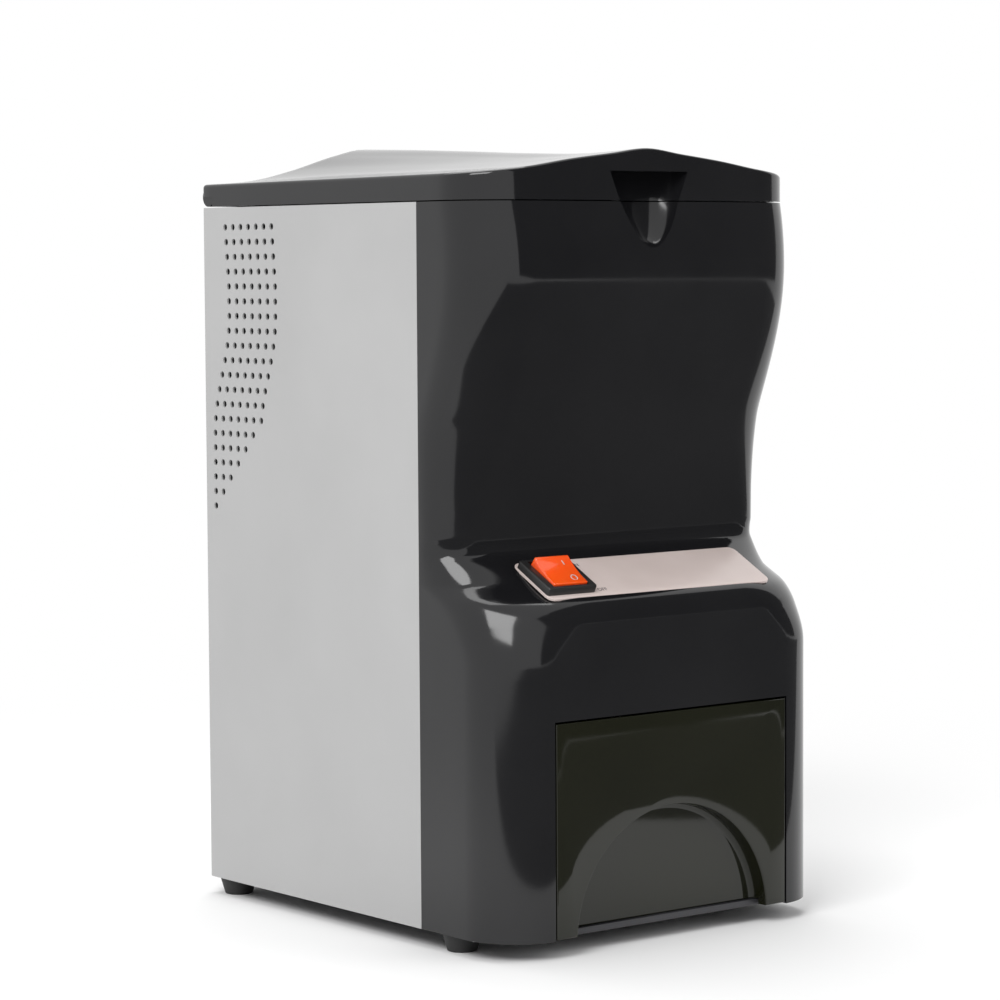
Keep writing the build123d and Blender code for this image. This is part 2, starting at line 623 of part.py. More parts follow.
PLATE = 3.0
BRACKET_TOP = 254.0
with BuildPart() as housing_brackets:
    for side in (-1, 1):
        with BuildSketch(Plane.XZ.offset(60)):
            with BuildLine():
                Polyline(
                    (side * CHAMBER_HALF, DECK_Z),
                    (side * (BRACKET_FOOT_X + 8), DECK_Z),
                    (side * (BRACKET_FOOT_X + 8), DECK_Z + PLATE),
                    (side * (CHAMBER_HALF + PLATE), DECK_Z + PLATE),
                    (side * (CHAMBER_HALF + PLATE), BRACKET_TOP),
                    (side * CHAMBER_HALF, BRACKET_TOP),
                    close=True,
                )
            make_face()
        extrude(amount=-46)
    with BuildSketch(Plane.XY.offset(DECK_Z)):
        with Locations(*bracket_feet):
            RegularPolygon(M5_R + SCREW_GAP, 6)
    extrude(amount=PLATE, mode=Mode.SUBTRACT)
    with BuildSketch(Plane.YZ.offset(-CHAMBER_HALF - PLATE)):
        with Locations(*housing_screw_places):
            RegularPolygon(M5_R + SCREW_GAP, 6)
    extrude(amount=2 * (CHAMBER_HALF + PLATE), mode=Mode.SUBTRACT)
finish("housing_brackets", housing_brackets.part)
finish("bracket_screws", screws_on(Plane.XY.offset(DECK_Z + PLATE), bracket_feet, 4.5, 3.0, M5_R, 6.2))

right_side = Plane.YZ.offset(CHAMBER_HALF + PLATE)
with BuildPart() as housing_screws:
    add(screws_on(right_side, housing_screw_places, 4.5, 3.0, M5_R, 7.5))
    mirror(about=Plane.YZ)
finish("housing_screws", housing_screws.part)

# ---- rotor: shaft, blades, spacers ---------------------------------------------------------
blade_ys = [chamber_mid + (i - (BLADE_COUNT - 1) / 2) * BLADE_PITCH for i in range(BLADE_COUNT)]
SHAFT_FRONT = CHAMBER_FRONT + 0.5
SHAFT_BACK = CHAMBER_BACK + 23.0
KEY_GAP = 0.03  # blades and spacers slide onto the shaft


def disc(y, length, radius, bore, z=ROTOR_Z):
    """Ring about an axis along Y, starting at y and running back."""
    with BuildPart() as ring:
        with BuildSketch(Plane.XZ.offset(-y)):
            with Locations((0, z)):
                Circle(radius)
                if bore:
                    Circle(bore, mode=Mode.SUBTRACT)
        extrude(amount=-length)
    return ring.part


def faceted_ring(y, length, radius, bore, sides, z=ROTOR_Z):
    """Ring like a disc, but with flat sides; its bore clears a circle of the given radius."""
    with BuildPart() as ring:
        with BuildSketch(Plane.XZ.offset(-y)):
            with Locations((0, z)):
                RegularPolygon(radius, sides)
                RegularPolygon(bore, sides, major_radius=False, mode=Mode.SUBTRACT)
        extrude(amount=-length)
    return ring.part


finish("rotor_shaft", disc(SHAFT_FRONT, SHAFT_BACK - SHAFT_FRONT, SHAFT_R, 0))

BLADE_TEETH = 3
BLADE_TWIST = 24.0  # each blade is set this much further round than the one before


def blade(y, turn):
    """Crushing blade: a hub with three hooked teeth."""
    step = 360 / BLADE_TEETH
    points = []
    for tooth in range(BLADE_TEETH):
        start = turn + tooth * step
        for angle, radius in ((0, 17.0), (14, 27.0), (20, 38.5), (26, BLADE_TIP_R), (40, 25.0), (62, 17.5)):
            points.append((radius * cos(radians(start + angle)), radius * sin(radians(start + angle))))
    with BuildPart() as one_blade:
        with BuildSketch(Plane.XZ.offset(-y)):
            with Locations((0, ROTOR_Z)):
                Polygon(*points, align=None)
                RegularPolygon(SHAFT_R + KEY_GAP, 8, major_radius=False, mode=Mode.SUBTRACT)
        extrude(amount=-BLADE_THICK)
    return one_blade.part


with BuildPart() as crusher_blades:
    for index, blade_y in enumerate(blade_ys):
        add(blade(blade_y - BLADE_THICK / 2, 10 + index * BLADE_TWIST))
finish("crusher_blades", crusher_blades.part)

SPACER_R = 12.0
spacer_starts = [CHAMBER_FRONT + CHAMBER_WALL + 0.4] + [y + BLADE_THICK / 2 for y in blade_ys]
spacer_ends = [y - BLADE_THICK / 2 for y in blade_ys] + [CHAMBER_BACK - CHAMBER_WALL - 0.4]
with BuildPart() as blade_spacers:
    for start_y, end_y in zip(spacer_starts, spacer_ends):
        add(faceted_ring(start_y, end_y - start_y, SPACER_R, SHAFT_R + KEY_GAP, 8))
finish("blade_spacers", blade_spacers.part)

rear_bush_y = CHAMBER_BACK - CHAMBER_WALL
bushes = (("front_bush", CHAMBER_FRONT, CHAMBER_WALL), ("rear_bush", rear_bush_y, CHAMBER_WALL + COVER_THICK))
for bush_name, bush_y, bush_length in bushes:
    with BuildPart() as bush:
        with BuildSketch(Plane.XZ.offset(-bush_y)):
            with Locations((0, ROTOR_Z)):
                RegularPolygon(BUSH_R, BUSH_SIDES)
                Circle(SHAFT_R + RUNNING, mode=Mode.SUBTRACT)
        extrude(amount=-bush_length)
    finish(bush_name, bush.part)

# ---- anvil combs: fixed bars that pass between the blades -----------------------------------
COMB_PLATE = 4.0
COMB_TIP_X = 20.0
COMB_BAR = 5.0
comb_face = chamber_inner_half - COMB_PLATE
for side, comb_name in ((-1, "anvil_comb_left"), (1, "anvil_comb_right")):
    with BuildPart() as anvil_comb:
        with BuildSketch(Plane.YZ.offset(side * chamber_inner_half)):
            with Locations((chamber_mid, ROTOR_Z)):
                Rectangle(chamber_depth - 2 * CHAMBER_WALL - 7, 28)
        extrude(amount=-side * COMB_PLATE)
        for gap in range(BLADE_COUNT - 1):
            bar_y = blade_ys[gap] + BLADE_PITCH / 2 - COMB_BAR / 2
            with BuildSketch(Plane.XZ.offset(-bar_y)):
                with BuildLine():
                    Polyline(
                        (side * comb_face, ROTOR_Z - 13),
                        (side * comb_face, ROTOR_Z + 13),
                        (side * COMB_TIP_X, ROTOR_Z + 5),
                        (side * COMB_TIP_X, ROTOR_Z - 5),
                        close=True,
                    )
                make_face()
            extrude(amount=-COMB_BAR)
    finish(comb_name, anvil_comb.part)

# ---- hopper: top deck with the ice funnel ---------------------------------------------------
MOUTH = (160.0, 116.0, -24.0)  # width, depth and middle y of the funnel's mouth
THROAT = (2 * chamber_inner_half, chamber_depth - 2 * CHAMBER_WALL, chamber_mid)
THROAT_TOP = 310.0
DECK_REAR_Y = HINGE_Y + 0.7


def funnel_face(z, opening, corner, wall):
    """Rectangle with cut corners: the funnel's section at height z, grown by its wall."""
    width, depth, middle = opening
    x = width / 2 + wall
    y = depth / 2 + wall
    cut = corner + wall * (2 - sqrt(2))
    quarter = [(x, y - cut), (x - cut, y)]
    half = quarter + [(-px, py) for px, py in reversed(quarter)]
    with BuildSketch(Plane.XY.offset(z)) as face:
        with Locations((0, middle)):
            Polygon(*half, *[(px, -py) for px, py in reversed(half)], align=None)
    return face.sketch


with BuildPart() as hopper:
    with BuildSketch(Plane.XY.offset(LEDGE_Z)):
        add(casing_outline(CASING_TOP, WALL + 0.4, SHEET_FRONT_Y + 1, LEDGE_Z))
        with Locations((0, (SHEET_FRONT_Y + DECK_REAR_Y) / 2)):
            Rectangle(2 * (HALF - SHEET - 0.2), DECK_REAR_Y - SHEET_FRONT_Y)
        with Locations((HALF - WALL - 1, SHEET_FRONT_Y), (-HALF + WALL + 1, SHEET_FRONT_Y)):
            Rectangle(6.8, 2 * TONGUE, mode=Mode.SUBTRACT)
        with Locations((0, SCOOP_AXIS_Y)):
            RegularPolygon(19.7 + WALL + 0.6, 24, major_radius=False, mode=Mode.SUBTRACT)
    extrude(amount=CASING_TOP - LEDGE_Z)
    loft(
        sections=[
            funnel_face(THROAT_TOP, THROAT, 6, WALL),
            funnel_face(LEDGE_Z, MOUTH, 14, WALL),
        ],
        ruled=True,
    )
    add(funnel_face(CHAMBER_TOP, THROAT, 6, WALL))
    extrude(amount=THROAT_TOP - CHAMBER_TOP)
    add(funnel_face(CHAMBER_TOP, THROAT, 6, 0))
    extrude(amount=THROAT_TOP - CHAMBER_TOP, mode=Mode.SUBTRACT)
    loft(
        sections=[
            funnel_face(THROAT_TOP, THROAT, 6, 0),
            funnel_face(LEDGE_Z, MOUTH, 14, 0),
        ],
        ruled=True,
        mode=Mode.SUBTRACT,
    )
    add(funnel_face(LEDGE_Z, MOUTH, 14, 0))
    extrude(amount=5, mode=Mode.SUBTRACT)
finish("hopper", hopper.part)

# ---- gearbox ------------------------------------------------------------------------------
CASE_R = 52.0
CASE_SMALL_R = 20.0
CASE_WALL = 3.5
CASE_SIDES = 20
gearbox_screw_places = [(-44.0, 256.0), (44.0, 256.0), (-40.0, 184.0), (40.0, 184.0)]


def gearbox_block(y, length, inset):
    """Pear-shaped block round both gears, starting at y and running back."""
    big = CASE_R - inset
    small = CASE_SMALL_R - inset
    lean = asin((big - small) / (MOTOR_Z - ROTOR_Z))
    tangents = [
        (big * cos(lean), ROTOR_Z + big * sin(lean)),
        (small * cos(lean), MOTOR_Z + small * sin(lean)),
        (-small * cos(lean), MOTOR_Z + small * sin(lean)),
        (-big * cos(lean), ROTOR_Z + big * sin(lean)),
    ]
    with BuildPart() as block:
        with BuildSketch(Plane.XZ.offset(-y)):
            with Locations((0, ROTOR_Z)):
                RegularPolygon(big, CASE_SIDES)
            with Locations((0, MOTOR_Z)):
                RegularPolygon(small, CASE_SIDES)
            Polygon(*tangents, align=None)
        extrude(amount=-length)
    return block.part


with BuildPart() as gear_case:
    add(gearbox_block(CHAMBER_BACK, CASE_DEPTH, 0))
    with BuildSketch(Plane.XZ.offset(-CHAMBER_BACK)):
        with Locations(*gearbox_screw_places):
            RegularPolygon(6, 6)
    extrude(amount=-CASE_DEPTH)
    add(gearbox_block(CHAMBER_BACK + COVER_THICK, CASE_DEPTH, CASE_WALL), mode=Mode.SUBTRACT)
    with BuildSketch(Plane.XZ.offset(-CHAMBER_BACK + 1)):
        with Locations((0, ROTOR_Z)):
            RegularPolygon(BUSH_R, BUSH_SIDES)
    extrude(amount=-CASE_DEPTH, mode=Mode.SUBTRACT)
    with BuildSketch(Plane.XZ.offset(-CHAMBER_BACK - CASE_DEPTH)):
        with Locations(*gearbox_screw_places):
            RegularPolygon(1.8, 6)
    extrude(amount=12, mode=Mode.SUBTRACT)
finish("gear_case", gear_case.part)

with BuildPart() as gear_cover:
    add(gearbox_block(CHAMBER_BACK + CASE_DEPTH, COVER_THICK, 0))
    with BuildSketch(Plane.XZ.offset(-CHAMBER_BACK - CASE_DEPTH)):
        with Locations(*gearbox_screw_places):
            RegularPolygon(6, 6)
    extrude(amount=-COVER_THICK)
    with BuildSketch(Plane.XZ.offset(-CHAMBER_BACK - CASE_DEPTH)):
        with Locations((0, MOTOR_Z)):
            Circle(MOTOR_SHAFT_R + RUNNING)
        with Locations(*gearbox_screw_places):
            RegularPolygon(1.8, 6)
    extrude(amount=-COVER_THICK, mode=Mode.SUBTRACT)
finish("gear_cover", gear_cover.part)

motor_side = Plane(origin=(0, MOTOR_FRONT, 0), x_dir=(-1, 0, 0), z_dir=(0, 1, 0))
gearbox_heads = [(-x, z) for x, z in gearbox_screw_places]
finish("gearbox_screws", screws_on(motor_side, gearbox_heads, 3.2, 2.4, 1.7, 14))


def gear_points(teeth, turn):
    """Outline of a spur gear with straight tooth flanks; turn is in degrees."""
    pitch_r = MODULE * teeth / 2
    half_pitch = pi / (2 * teeth)  # half of a tooth's angle at the pitch circle
    lean = 0.364 * MODULE / pitch_r
    rows = (
        (pitch_r - 1.2 * MODULE, half_pitch * 0.92 + lean * 1.1),
        (pitch_r + MODULE * 0.95, half_pitch * 0.92 - lean * 1.15),
    )
    points = []
    for tooth in range(teeth):
        middle = radians(turn) + 2 * pi * tooth / teeth
        points += [(r * cos(middle - half), r * sin(middle - half)) for r, half in rows]
        points += [(r * cos(middle + half), r * sin(middle + half)) for r, half in reversed(rows)]
    return points


def gear(teeth, turn, z, y, width, bore):
    """Spur gear about an axis along Y."""
    with BuildPart() as wheel:
        with BuildSketch(Plane.XZ.offset(-y)):
            with Locations((0, z)):
                Polygon(*gear_points(teeth, turn), align=None)
                RegularPolygon(bore, 12, major_radius=False, mode=Mode.SUBTRACT)
        extrude(amount=-width)
    return wheel.part


# A tooth of the big gear points up and a gap of the pinion points down
finish("driven_gear", gear(GEAR_TEETH, 90, ROTOR_Z, GEAR_Y, GEAR_WIDTH, SHAFT_R + KEY_GAP))
pinion_bore = MOTOR_SHAFT_R + KEY_GAP
pinion_turn = 270 + 180 / PINION_TEETH
finish("drive_pinion", gear(PINION_TEETH, pinion_turn, MOTOR_Z, GEAR_Y - 1, GEAR_WIDTH + 2, pinion_bore))
collar_y = CHAMBER_BACK + COVER_THICK + 0.2
finish("gear_collar", faceted_ring(collar_y, GEAR_Y - collar_y, 10, SHAFT_R + KEY_GAP, 12))
with BuildPart() as shaft_nut:
    with BuildSketch(Plane.XZ.offset(-GEAR_Y - GEAR_WIDTH)):
        with Locations((0, ROTOR_Z)):
            RegularPolygon(11.5, 6)
            RegularPolygon(SHAFT_R + KEY_GAP, 12, major_radius=False, mode=Mode.SUBTRACT)
    extrude(amount=-4.5)
finish("shaft_nut", shaft_nut.part)

# ---- motor --------------------------------------------------------------------------------
MOTOR_BACK = MOTOR_FRONT + MOTOR_LENGTH
STATOR_BORE = 24.6
PLATE_THICK = 4.0
MOTOR_SIDES = 20
with BuildPart() as motor_body:
    with BuildSketch(Plane.XZ.offset(-MOTOR_FRONT)):
        with Locations((0, MOTOR_Z)):
            RegularPolygon(MOTOR_R - 3, MOTOR_SIDES)
    extrude(amount=-MOTOR_LENGTH)
    # Mounting flange at the front, and the band that rests in the cradle
    for band_y, band_width in ((MOTOR_FRONT, 6), (CRADLE_Y - 2, CRADLE_THICK + 4)):
        with BuildSketch(Plane.XZ.offset(-band_y)):
            with Locations((0, MOTOR_Z)):
                RegularPolygon(MOTOR_R, MOTOR_SIDES)
        extrude(amount=-band_width)
    with BuildSketch(Plane.XZ.offset(-MOTOR_FRONT - PLATE_THICK)):
        with Locations((0, MOTOR_Z)):
            RegularPolygon(STATOR_BORE, MOTOR_SIDES, major_radius=False)
    extrude(amount=-MOTOR_LENGTH, mode=Mode.SUBTRACT)
    add(disc(MOTOR_FRONT, MOTOR_LENGTH, MOTOR_SHAFT_R + RUNNING, 0, MOTOR_Z), mode=Mode.SUBTRACT)
finish("motor_body", motor_body.part)

with BuildPart() as motor_end_cap:
    with BuildSketch(Plane.XZ.offset(-MOTOR_BACK)):
        with Locations((0, MOTOR_Z)):
            RegularPolygon(MOTOR_R, MOTOR_SIDES)
    extrude(amount=-PLATE_THICK - 2)
    chamfer(motor_end_cap.faces().sort_by(Axis.Y)[-1].edges(), length=2.5)
    add(disc(MOTOR_BACK, PLATE_THICK + 2, MOTOR_SHAFT_R + RUNNING, 0, MOTOR_Z), mode=Mode.SUBTRACT)
finish("motor_end_cap", motor_end_cap.part)

MOTOR_SHAFT_FRONT = GEAR_Y - 2
MOTOR_SHAFT_BACK = MOTOR_BACK + 18
ROTOR_GAP = 0.4
motor_shaft_length = MOTOR_SHAFT_BACK - MOTOR_SHAFT_FRONT
finish("motor_shaft", disc(MOTOR_SHAFT_FRONT, motor_shaft_length, MOTOR_SHAFT_R, 0, MOTOR_Z))
core_r = STATOR_BORE - ROTOR_GAP
finish(
    "motor_rotor",
    faceted_ring(MOTOR_FRONT + 8, MOTOR_LENGTH - 12, core_r, pinion_bore, MOTOR_SIDES, MOTOR_Z),
)

FAN_Y = MOTOR_BACK + 8.0
FAN_BLADES = 7
with BuildPart() as cooling_fan:
    with BuildSketch(Plane.XZ.offset(-FAN_Y)):
        with Locations((0, MOTOR_Z)):
            RegularPolygon(10, 2 * FAN_BLADES)
    extrude(amount=-8)
    with BuildSketch(Plane.XZ.offset(-FAN_Y - 1)):
        with Locations((0, MOTOR_Z)):
            with PolarLocations(22, FAN_BLADES):
                Rectangle(30, 4)
    extrude(amount=-6)
    with BuildSketch(Plane.XZ.offset(-FAN_Y + 1)):
        with Locations((0, MOTOR_Z)):
            RegularPolygon(pinion_bore, 12, major_radius=False)
    extrude(amount=-10, mode=Mode.SUBTRACT)
finish("cooling_fan", cooling_fan.part)

with BuildPart() as motor_cradle:
    with BuildSketch(Plane.XZ.offset(-CRADLE_Y)):
        with Locations((0, (DECK_Z + MOTOR_Z - 18) / 2)):
            Rectangle(84, MOTOR_Z - 18 - DECK_Z)
        with Locations((0, MOTOR_Z)):
            RegularPolygon(MOTOR_R, MOTOR_SIDES, mode=Mode.SUBTRACT)
        with Locations((0, DECK_Z + 52)):
            Rectangle(52, 56, mode=Mode.SUBTRACT)
    extrude(amount=-CRADLE_THICK)
    with BuildSketch(Plane.XY.offset(DECK_Z)):
        with Locations((0, CRADLE_Y + CRADLE_THICK + 8)):
            Rectangle(84, 16)
        with Locations(*cradle_feet):
            RegularPolygon(M5_R + SCREW_GAP, 6, mode=Mode.SUBTRACT)
    extrude(amount=PLATE)
finish("motor_cradle", motor_cradle.part)
finish("cradle_screws", screws_on(Plane.XY.offset(DECK_Z + PLATE), cradle_feet, 4.5, 3.0, M5_R, 6.2))

# ---- electrical pieces on the chassis ---------------------------------------------------
CAPACITOR_PLACE = (-64.0, 84.0)
CAPACITOR_R = 15.0
CAPACITOR_SIDES = 16
with BuildPart() as capacitor_clip:
    with BuildSketch(Plane.XY.offset(DECK_Z)):
        with Locations(CAPACITOR_PLACE):
            RegularPolygon(CAPACITOR_R + 2, CAPACITOR_SIDES)
    extrude(amount=14)
    with BuildSketch(Plane.XY.offset(DECK_Z + 2)):
        with Locations(CAPACITOR_PLACE):
            RegularPolygon(CAPACITOR_R + RUNNING, CAPACITOR_SIDES)
    extrude(amount=14, mode=Mode.SUBTRACT)
finish("capacitor_clip", capacitor_clip.part)
with BuildPart() as run_capacitor:
    with BuildSketch(Plane.XY.offset(DECK_Z + 2)):
        with Locations(CAPACITOR_PLACE):
            RegularPolygon(CAPACITOR_R, CAPACITOR_SIDES)
    extrude(amount=62)
    chamfer(run_capacitor.edges().group_by(Axis.Z)[-1], length=1.5)
    with BuildSketch(Plane.XY.offset(DECK_Z + 64)):
        with Locations(CAPACITOR_PLACE):
            with GridLocations(12, 1, 2, 1):
                Rectangle(0.8, 6)
    extrude(amount=10)
finish("run_capacitor", run_capacitor.part)

TERMINALS = 5
with BuildPart() as terminal_block:
    with Locations((60, 88, DECK_Z)):
        Box(42, 20, 8, align=BOTTOM)
        Box(42, 10, 16, align=BOTTOM)
    with BuildSketch(Plane.XY.offset(DECK_Z + 16)):
        with Locations((60, 88)):
            with GridLocations(8, 1, TERMINALS, 1):
                Rectangle(4, 4)
    extrude(amount=-6, mode=Mode.SUBTRACT)
finish("terminal_block", terminal_block.part)

with BuildPart() as reed_switch:
    with Locations((-92, 60, LEDGE_Z - SHEET - 8)):
        Box(12, 24, 8, align=BOTTOM)
finish("reed_switch", reed_switch.part)

# ---- label_plate and the rocker switch on the console ------------------------------------
label_floor = console.offset(-LABEL_POCKET)
label_top = console.offset(LABEL_THICK - LABEL_POCKET)
with BuildPart() as label_plate:
    with BuildSketch(label_floor):
        plate = Rectangle(LABEL_WIDTH, LABEL_LENGTH)
        chamfer(plate.vertices(), length=2.5)
        with Locations((SWITCH_X, 0)):
            Rectangle(BLOCK_WIDTH + 0.4, BLOCK_LENGTH + 0.4, mode=Mode.SUBTRACT)
    extrude(amount=LABEL_THICK)
finish("label_plate", label_plate.part)

WINDOW = (21.6, 22.8)
ROCKER_PIN_R = 1.5
ROCKER_PIN_OUT = 1.6
switch_origin = label_top.from_local_coords((SWITCH_X, 0, 0))
switch_plane = Plane(origin=switch_origin, x_dir=(1, 0, 0), z_dir=console.z_dir)
with BuildPart() as switch_body:
    with BuildSketch(switch_plane):
        Rectangle(FRAME_WIDTH, FRAME_LENGTH)
    extrude(amount=FRAME_HEIGHT)
    chamfer(switch_body.faces().sort_by(Axis((0, 0, 0), console.z_dir))[-1].edges(), length=0.7)
    with BuildSketch(switch_plane):
        Rectangle(BLOCK_WIDTH, BLOCK_LENGTH)
    extrude(amount=-24)
    with BuildSketch(switch_plane.offset(FRAME_HEIGHT)):
        Rectangle(*WINDOW)
    extrude(amount=-FRAME_HEIGHT - 9.5, mode=Mode.SUBTRACT)
    with BuildSketch(Plane.YZ.offset(SWITCH_X - WINDOW[0] / 2 - ROCKER_PIN_OUT)):
        with Locations((switch_plane.origin.Y, switch_plane.origin.Z)):
            RegularPolygon(ROCKER_PIN_R + RUNNING, 12, major_radius=False)
    extrude(amount=WINDOW[0] + 2 * ROCKER_PIN_OUT, mode=Mode.SUBTRACT)
    # Tab terminals under the block
    with BuildSketch(switch_plane.offset(-24)):
        with GridLocations(12, 9, 2, 2):
            Rectangle(0.8, 4.8)
    extrude(amount=-8)
finish("switch_body", switch_body.part)

ROCKER_HALF = 9.8
ROCKER_TOP = 6.7
ROCKER_DISH = 1.0
ROCKER_WIDTH = 21.0
# The rocker's own plane: u runs along the console's slope, v stands out of it
rocker_side = Plane(
    origin=switch_plane.origin - Vector(ROCKER_WIDTH / 2, 0, 0),
    x_dir=Vector(0, cos(slope + radians(ROCKER_TILT)), sin(slope + radians(ROCKER_TILT))),
    z_dir=(1, 0, 0),
)
with BuildPart() as switch_rocker:
    with BuildSketch(rocker_side):
        with BuildLine():
            Line((-ROCKER_HALF, 0), (-ROCKER_HALF, ROCKER_TOP))
            dish_bottom = (0, ROCKER_TOP - ROCKER_DISH)
            ThreePointArc((-ROCKER_HALF, ROCKER_TOP), dish_bottom, (ROCKER_HALF, ROCKER_TOP))
            Line((ROCKER_HALF, ROCKER_TOP), (ROCKER_HALF, 0))
            ThreePointArc((ROCKER_HALF, 0), (0, -8.5), (-ROCKER_HALF, 0))
        make_face()
    extrude(amount=ROCKER_WIDTH)
    with BuildSketch(Plane.YZ.offset(SWITCH_X - ROCKER_WIDTH / 2 - 1.4)):
        with Locations((switch_plane.origin.Y, switch_plane.origin.Z)):
            RegularPolygon(ROCKER_PIN_R, 12)
    extrude(amount=ROCKER_WIDTH + 2.8)
finish("switch_rocker", switch_rocker.part)

# ---- lid -----------------------------------------------------------------------------------
LID_FRONT_Y = front_y(CASING_TOP)
BAND_REAR = 373.3  # top of the lid's side band at the back and at the front
BAND_FRONT = 374.6
CREST_HEIGHTS = [387.4, 386.0, 387.4, 389.7, 391.8, 393.5]  # along the middle, front to back
CREST_FRONT_Y = LID_FRONT_Y - 3
CREST_STEP = 48.0
# Share of the crest's rise at each x, at the front and at the back
BELL = ((74.0, 0.25, 0.12), (48.0, 0.56, 0.41), (22.0, 0.80, 0.79))


def lid_section(index, drop, inset):
    """Cross-section of the lid's hump, lowered and drawn in by the wall."""
    share = index / (len(CREST_HEIGHTS) - 1)
    y = CREST_FRONT_Y + index * CREST_STEP
    band = BAND_FRONT + (BAND_REAR - BAND_FRONT) * share - drop
    rise = CREST_HEIGHTS[index] - drop - band
    half = HALF - inset
    left = [(-x, band + rise * (front + (back - front) * share)) for x, front, back in BELL]
    right = [(-x, z) for x, z in reversed(left)]
    foot = LID_BOTTOM - (2 if drop else 0)
    crest = [(-half, band), *left, (0, band + rise), *right, (half, band)]
    with BuildSketch(Plane.XZ.offset(-y)) as section:
        if drop:
            Polygon((-half, foot), *crest, (half, foot), align=None)
        else:
            with BuildLine():
                Line((-half, foot), (-half, band))
                Spline(*crest, tangents=((1, 0.05), (1, -0.05)))
                Line((half, band), (half, foot))
                Line((half, foot), (-half, foot))
            make_face()
    return section.sketch


def lid_plan(inset, bottom):
    """Prism over the lid's plan outline."""
    with BuildPart() as prism:
        with BuildSketch(Plane.XY.offset(bottom)):
            add(casing_outline(CASING_TOP, inset, BACK_Y - 3, bottom))
            with Locations((0, BACK_Y - inset - 20)):
                Rectangle(2 * (HALF - inset), 40)
        extrude(amount=60)
    return prism.part


def lid_form(drop, inset, bottom):
    """The hump cut to the lid's plan outline."""
    with BuildPart() as hump:
        loft(sections=[lid_section(i, drop, inset) for i in range(len(CREST_HEIGHTS))], ruled=drop > 0)
        add(lid_plan(inset, bottom), mode=Mode.INTERSECT)
    return hump.part


def hinge_barrel(radius, middle_x, length):
    """Cylinder about the hinge axis."""
    with BuildPart() as barrel:
        with BuildSketch(Plane.YZ.offset(middle_x - length / 2)):
            with Locations((HINGE_Y, HINGE_Z)):
                Circle(radius)
        extrude(amount=length)
    return barrel.part


def hinge_pin(middle_x):
    """Twelve-sided pin about the hinge axis."""
    with BuildPart() as pin:
        with BuildSketch(Plane.YZ.offset(middle_x - HINGE_PIN_LENGTH / 2)):
            with Locations((HINGE_Y, HINGE_Z)):
                RegularPolygon(HINGE_PIN_R, 12)
        extrude(amount=HINGE_PIN_LENGTH)
    return pin.part


lid_outer = lid_form(0, 0, LID_BOTTOM)
with BuildPart() as lid_scoop_backing:
    add(scoop_form(WALL, 377.0))
    add(lid_outer, mode=Mode.INTERSECT)

MAGNET_PLACE = (-86.0, 60.0)
MAGNET_BOTTOM = LID_BOTTOM + 1.0
with BuildPart() as magnet_boss:
    with BuildSketch(Plane.XY.offset(MAGNET_BOTTOM)):
        with Locations(MAGNET_PLACE):
            RegularPolygon(7, 12)
    extrude(amount=30)
    add(lid_outer, mode=Mode.INTERSECT)
with BuildPart() as lid:
    add(lid_outer)
    add(lid_form(WALL, WALL, LID_BOTTOM - 2), mode=Mode.SUBTRACT)
    add(lid_scoop_backing.part)
    add(magnet_boss.part)
    # The lower back edge is a barrel about the hinge axis
    with BuildSketch(Plane.YZ.offset(-HALF - 1)):
        with Locations((HINGE_Y + 5, HINGE_Z - 5)):
            Rectangle(20, 10)
    extrude(amount=WIDTH + 2, mode=Mode.SUBTRACT)
    add(hinge_barrel(HINGE_R, 0, WIDTH - 2))
    for x in (-BRACKET_X, BRACKET_X):
        with BuildSketch(Plane.YZ.offset(x - BRACKET_WIDTH / 2 - 0.4)):
            with Locations((HINGE_Y, HINGE_Z)):
                RegularPolygon(HINGE_R + 0.8, 16, major_radius=False)
            with Locations((HINGE_Y + 5, HINGE_Z)):
                Rectangle(10, 2 * HINGE_R + 1.6)
        extrude(amount=BRACKET_WIDTH + 0.8, mode=Mode.SUBTRACT)
        add(hinge_pin(x), mode=Mode.SUBTRACT)
    add(scoop_form(0.0, SCOOP_CEILING), mode=Mode.SUBTRACT)
    with BuildSketch(Plane.XY.offset(MAGNET_BOTTOM)):
        with Locations(MAGNET_PLACE):
            RegularPolygon(5 + RUNNING, 12)
    extrude(amount=4, mode=Mode.SUBTRACT)
finish("lid", lid.part)

with BuildPart() as lid_magnet:
    with BuildSketch(Plane.XY.offset(MAGNET_BOTTOM)):
        with Locations(MAGNET_PLACE):
            RegularPolygon(5, 12)
    extrude(amount=4)
finish("lid_magnet", lid_magnet.part)

with BuildPart() as hinge_pins:
    for x in (-BRACKET_X, BRACKET_X):
        add(hinge_pin(x))
finish("hinge_pins", hinge_pins.part)

# ---- hinge_brackets and the back's screws ---------------------------------------------------
BRACKET_LEG = 3.0
BRACKET_FOOT_Z = 336.0
with BuildPart() as hinge_brackets:
    for x in (-BRACKET_X, BRACKET_X):
        add(hinge_barrel(HINGE_R, x, BRACKET_WIDTH))
        with BuildSketch(Plane.YZ.offset(x - BRACKET_WIDTH / 2)):
            with Locations((BASE_REAR_Y - BRACKET_LEG / 2, (HINGE_Z + BRACKET_FOOT_Z) / 2)):
                Rectangle(BRACKET_LEG, HINGE_Z - BRACKET_FOOT_Z)
        extrude(amount=BRACKET_WIDTH)
        with BuildSketch(Plane.YZ.offset(x - BRACKET_WIDTH / 2)):
            with Locations((HINGE_Y, HINGE_Z)):
                RegularPolygon(HINGE_PIN_R + RUNNING, 12, major_radius=False)
        extrude(amount=BRACKET_WIDTH, mode=Mode.SUBTRACT)
    with BuildSketch(Plane.XZ.offset(-BASE_REAR_Y)):
        with Locations(*hinge_screw_places):
            RegularPolygon(PANEL_SCREW_R + SCREW_GAP, 6)
    extrude(amount=BRACKET_LEG + 1, mode=Mode.SUBTRACT)
finish("hinge_brackets", hinge_brackets.part)


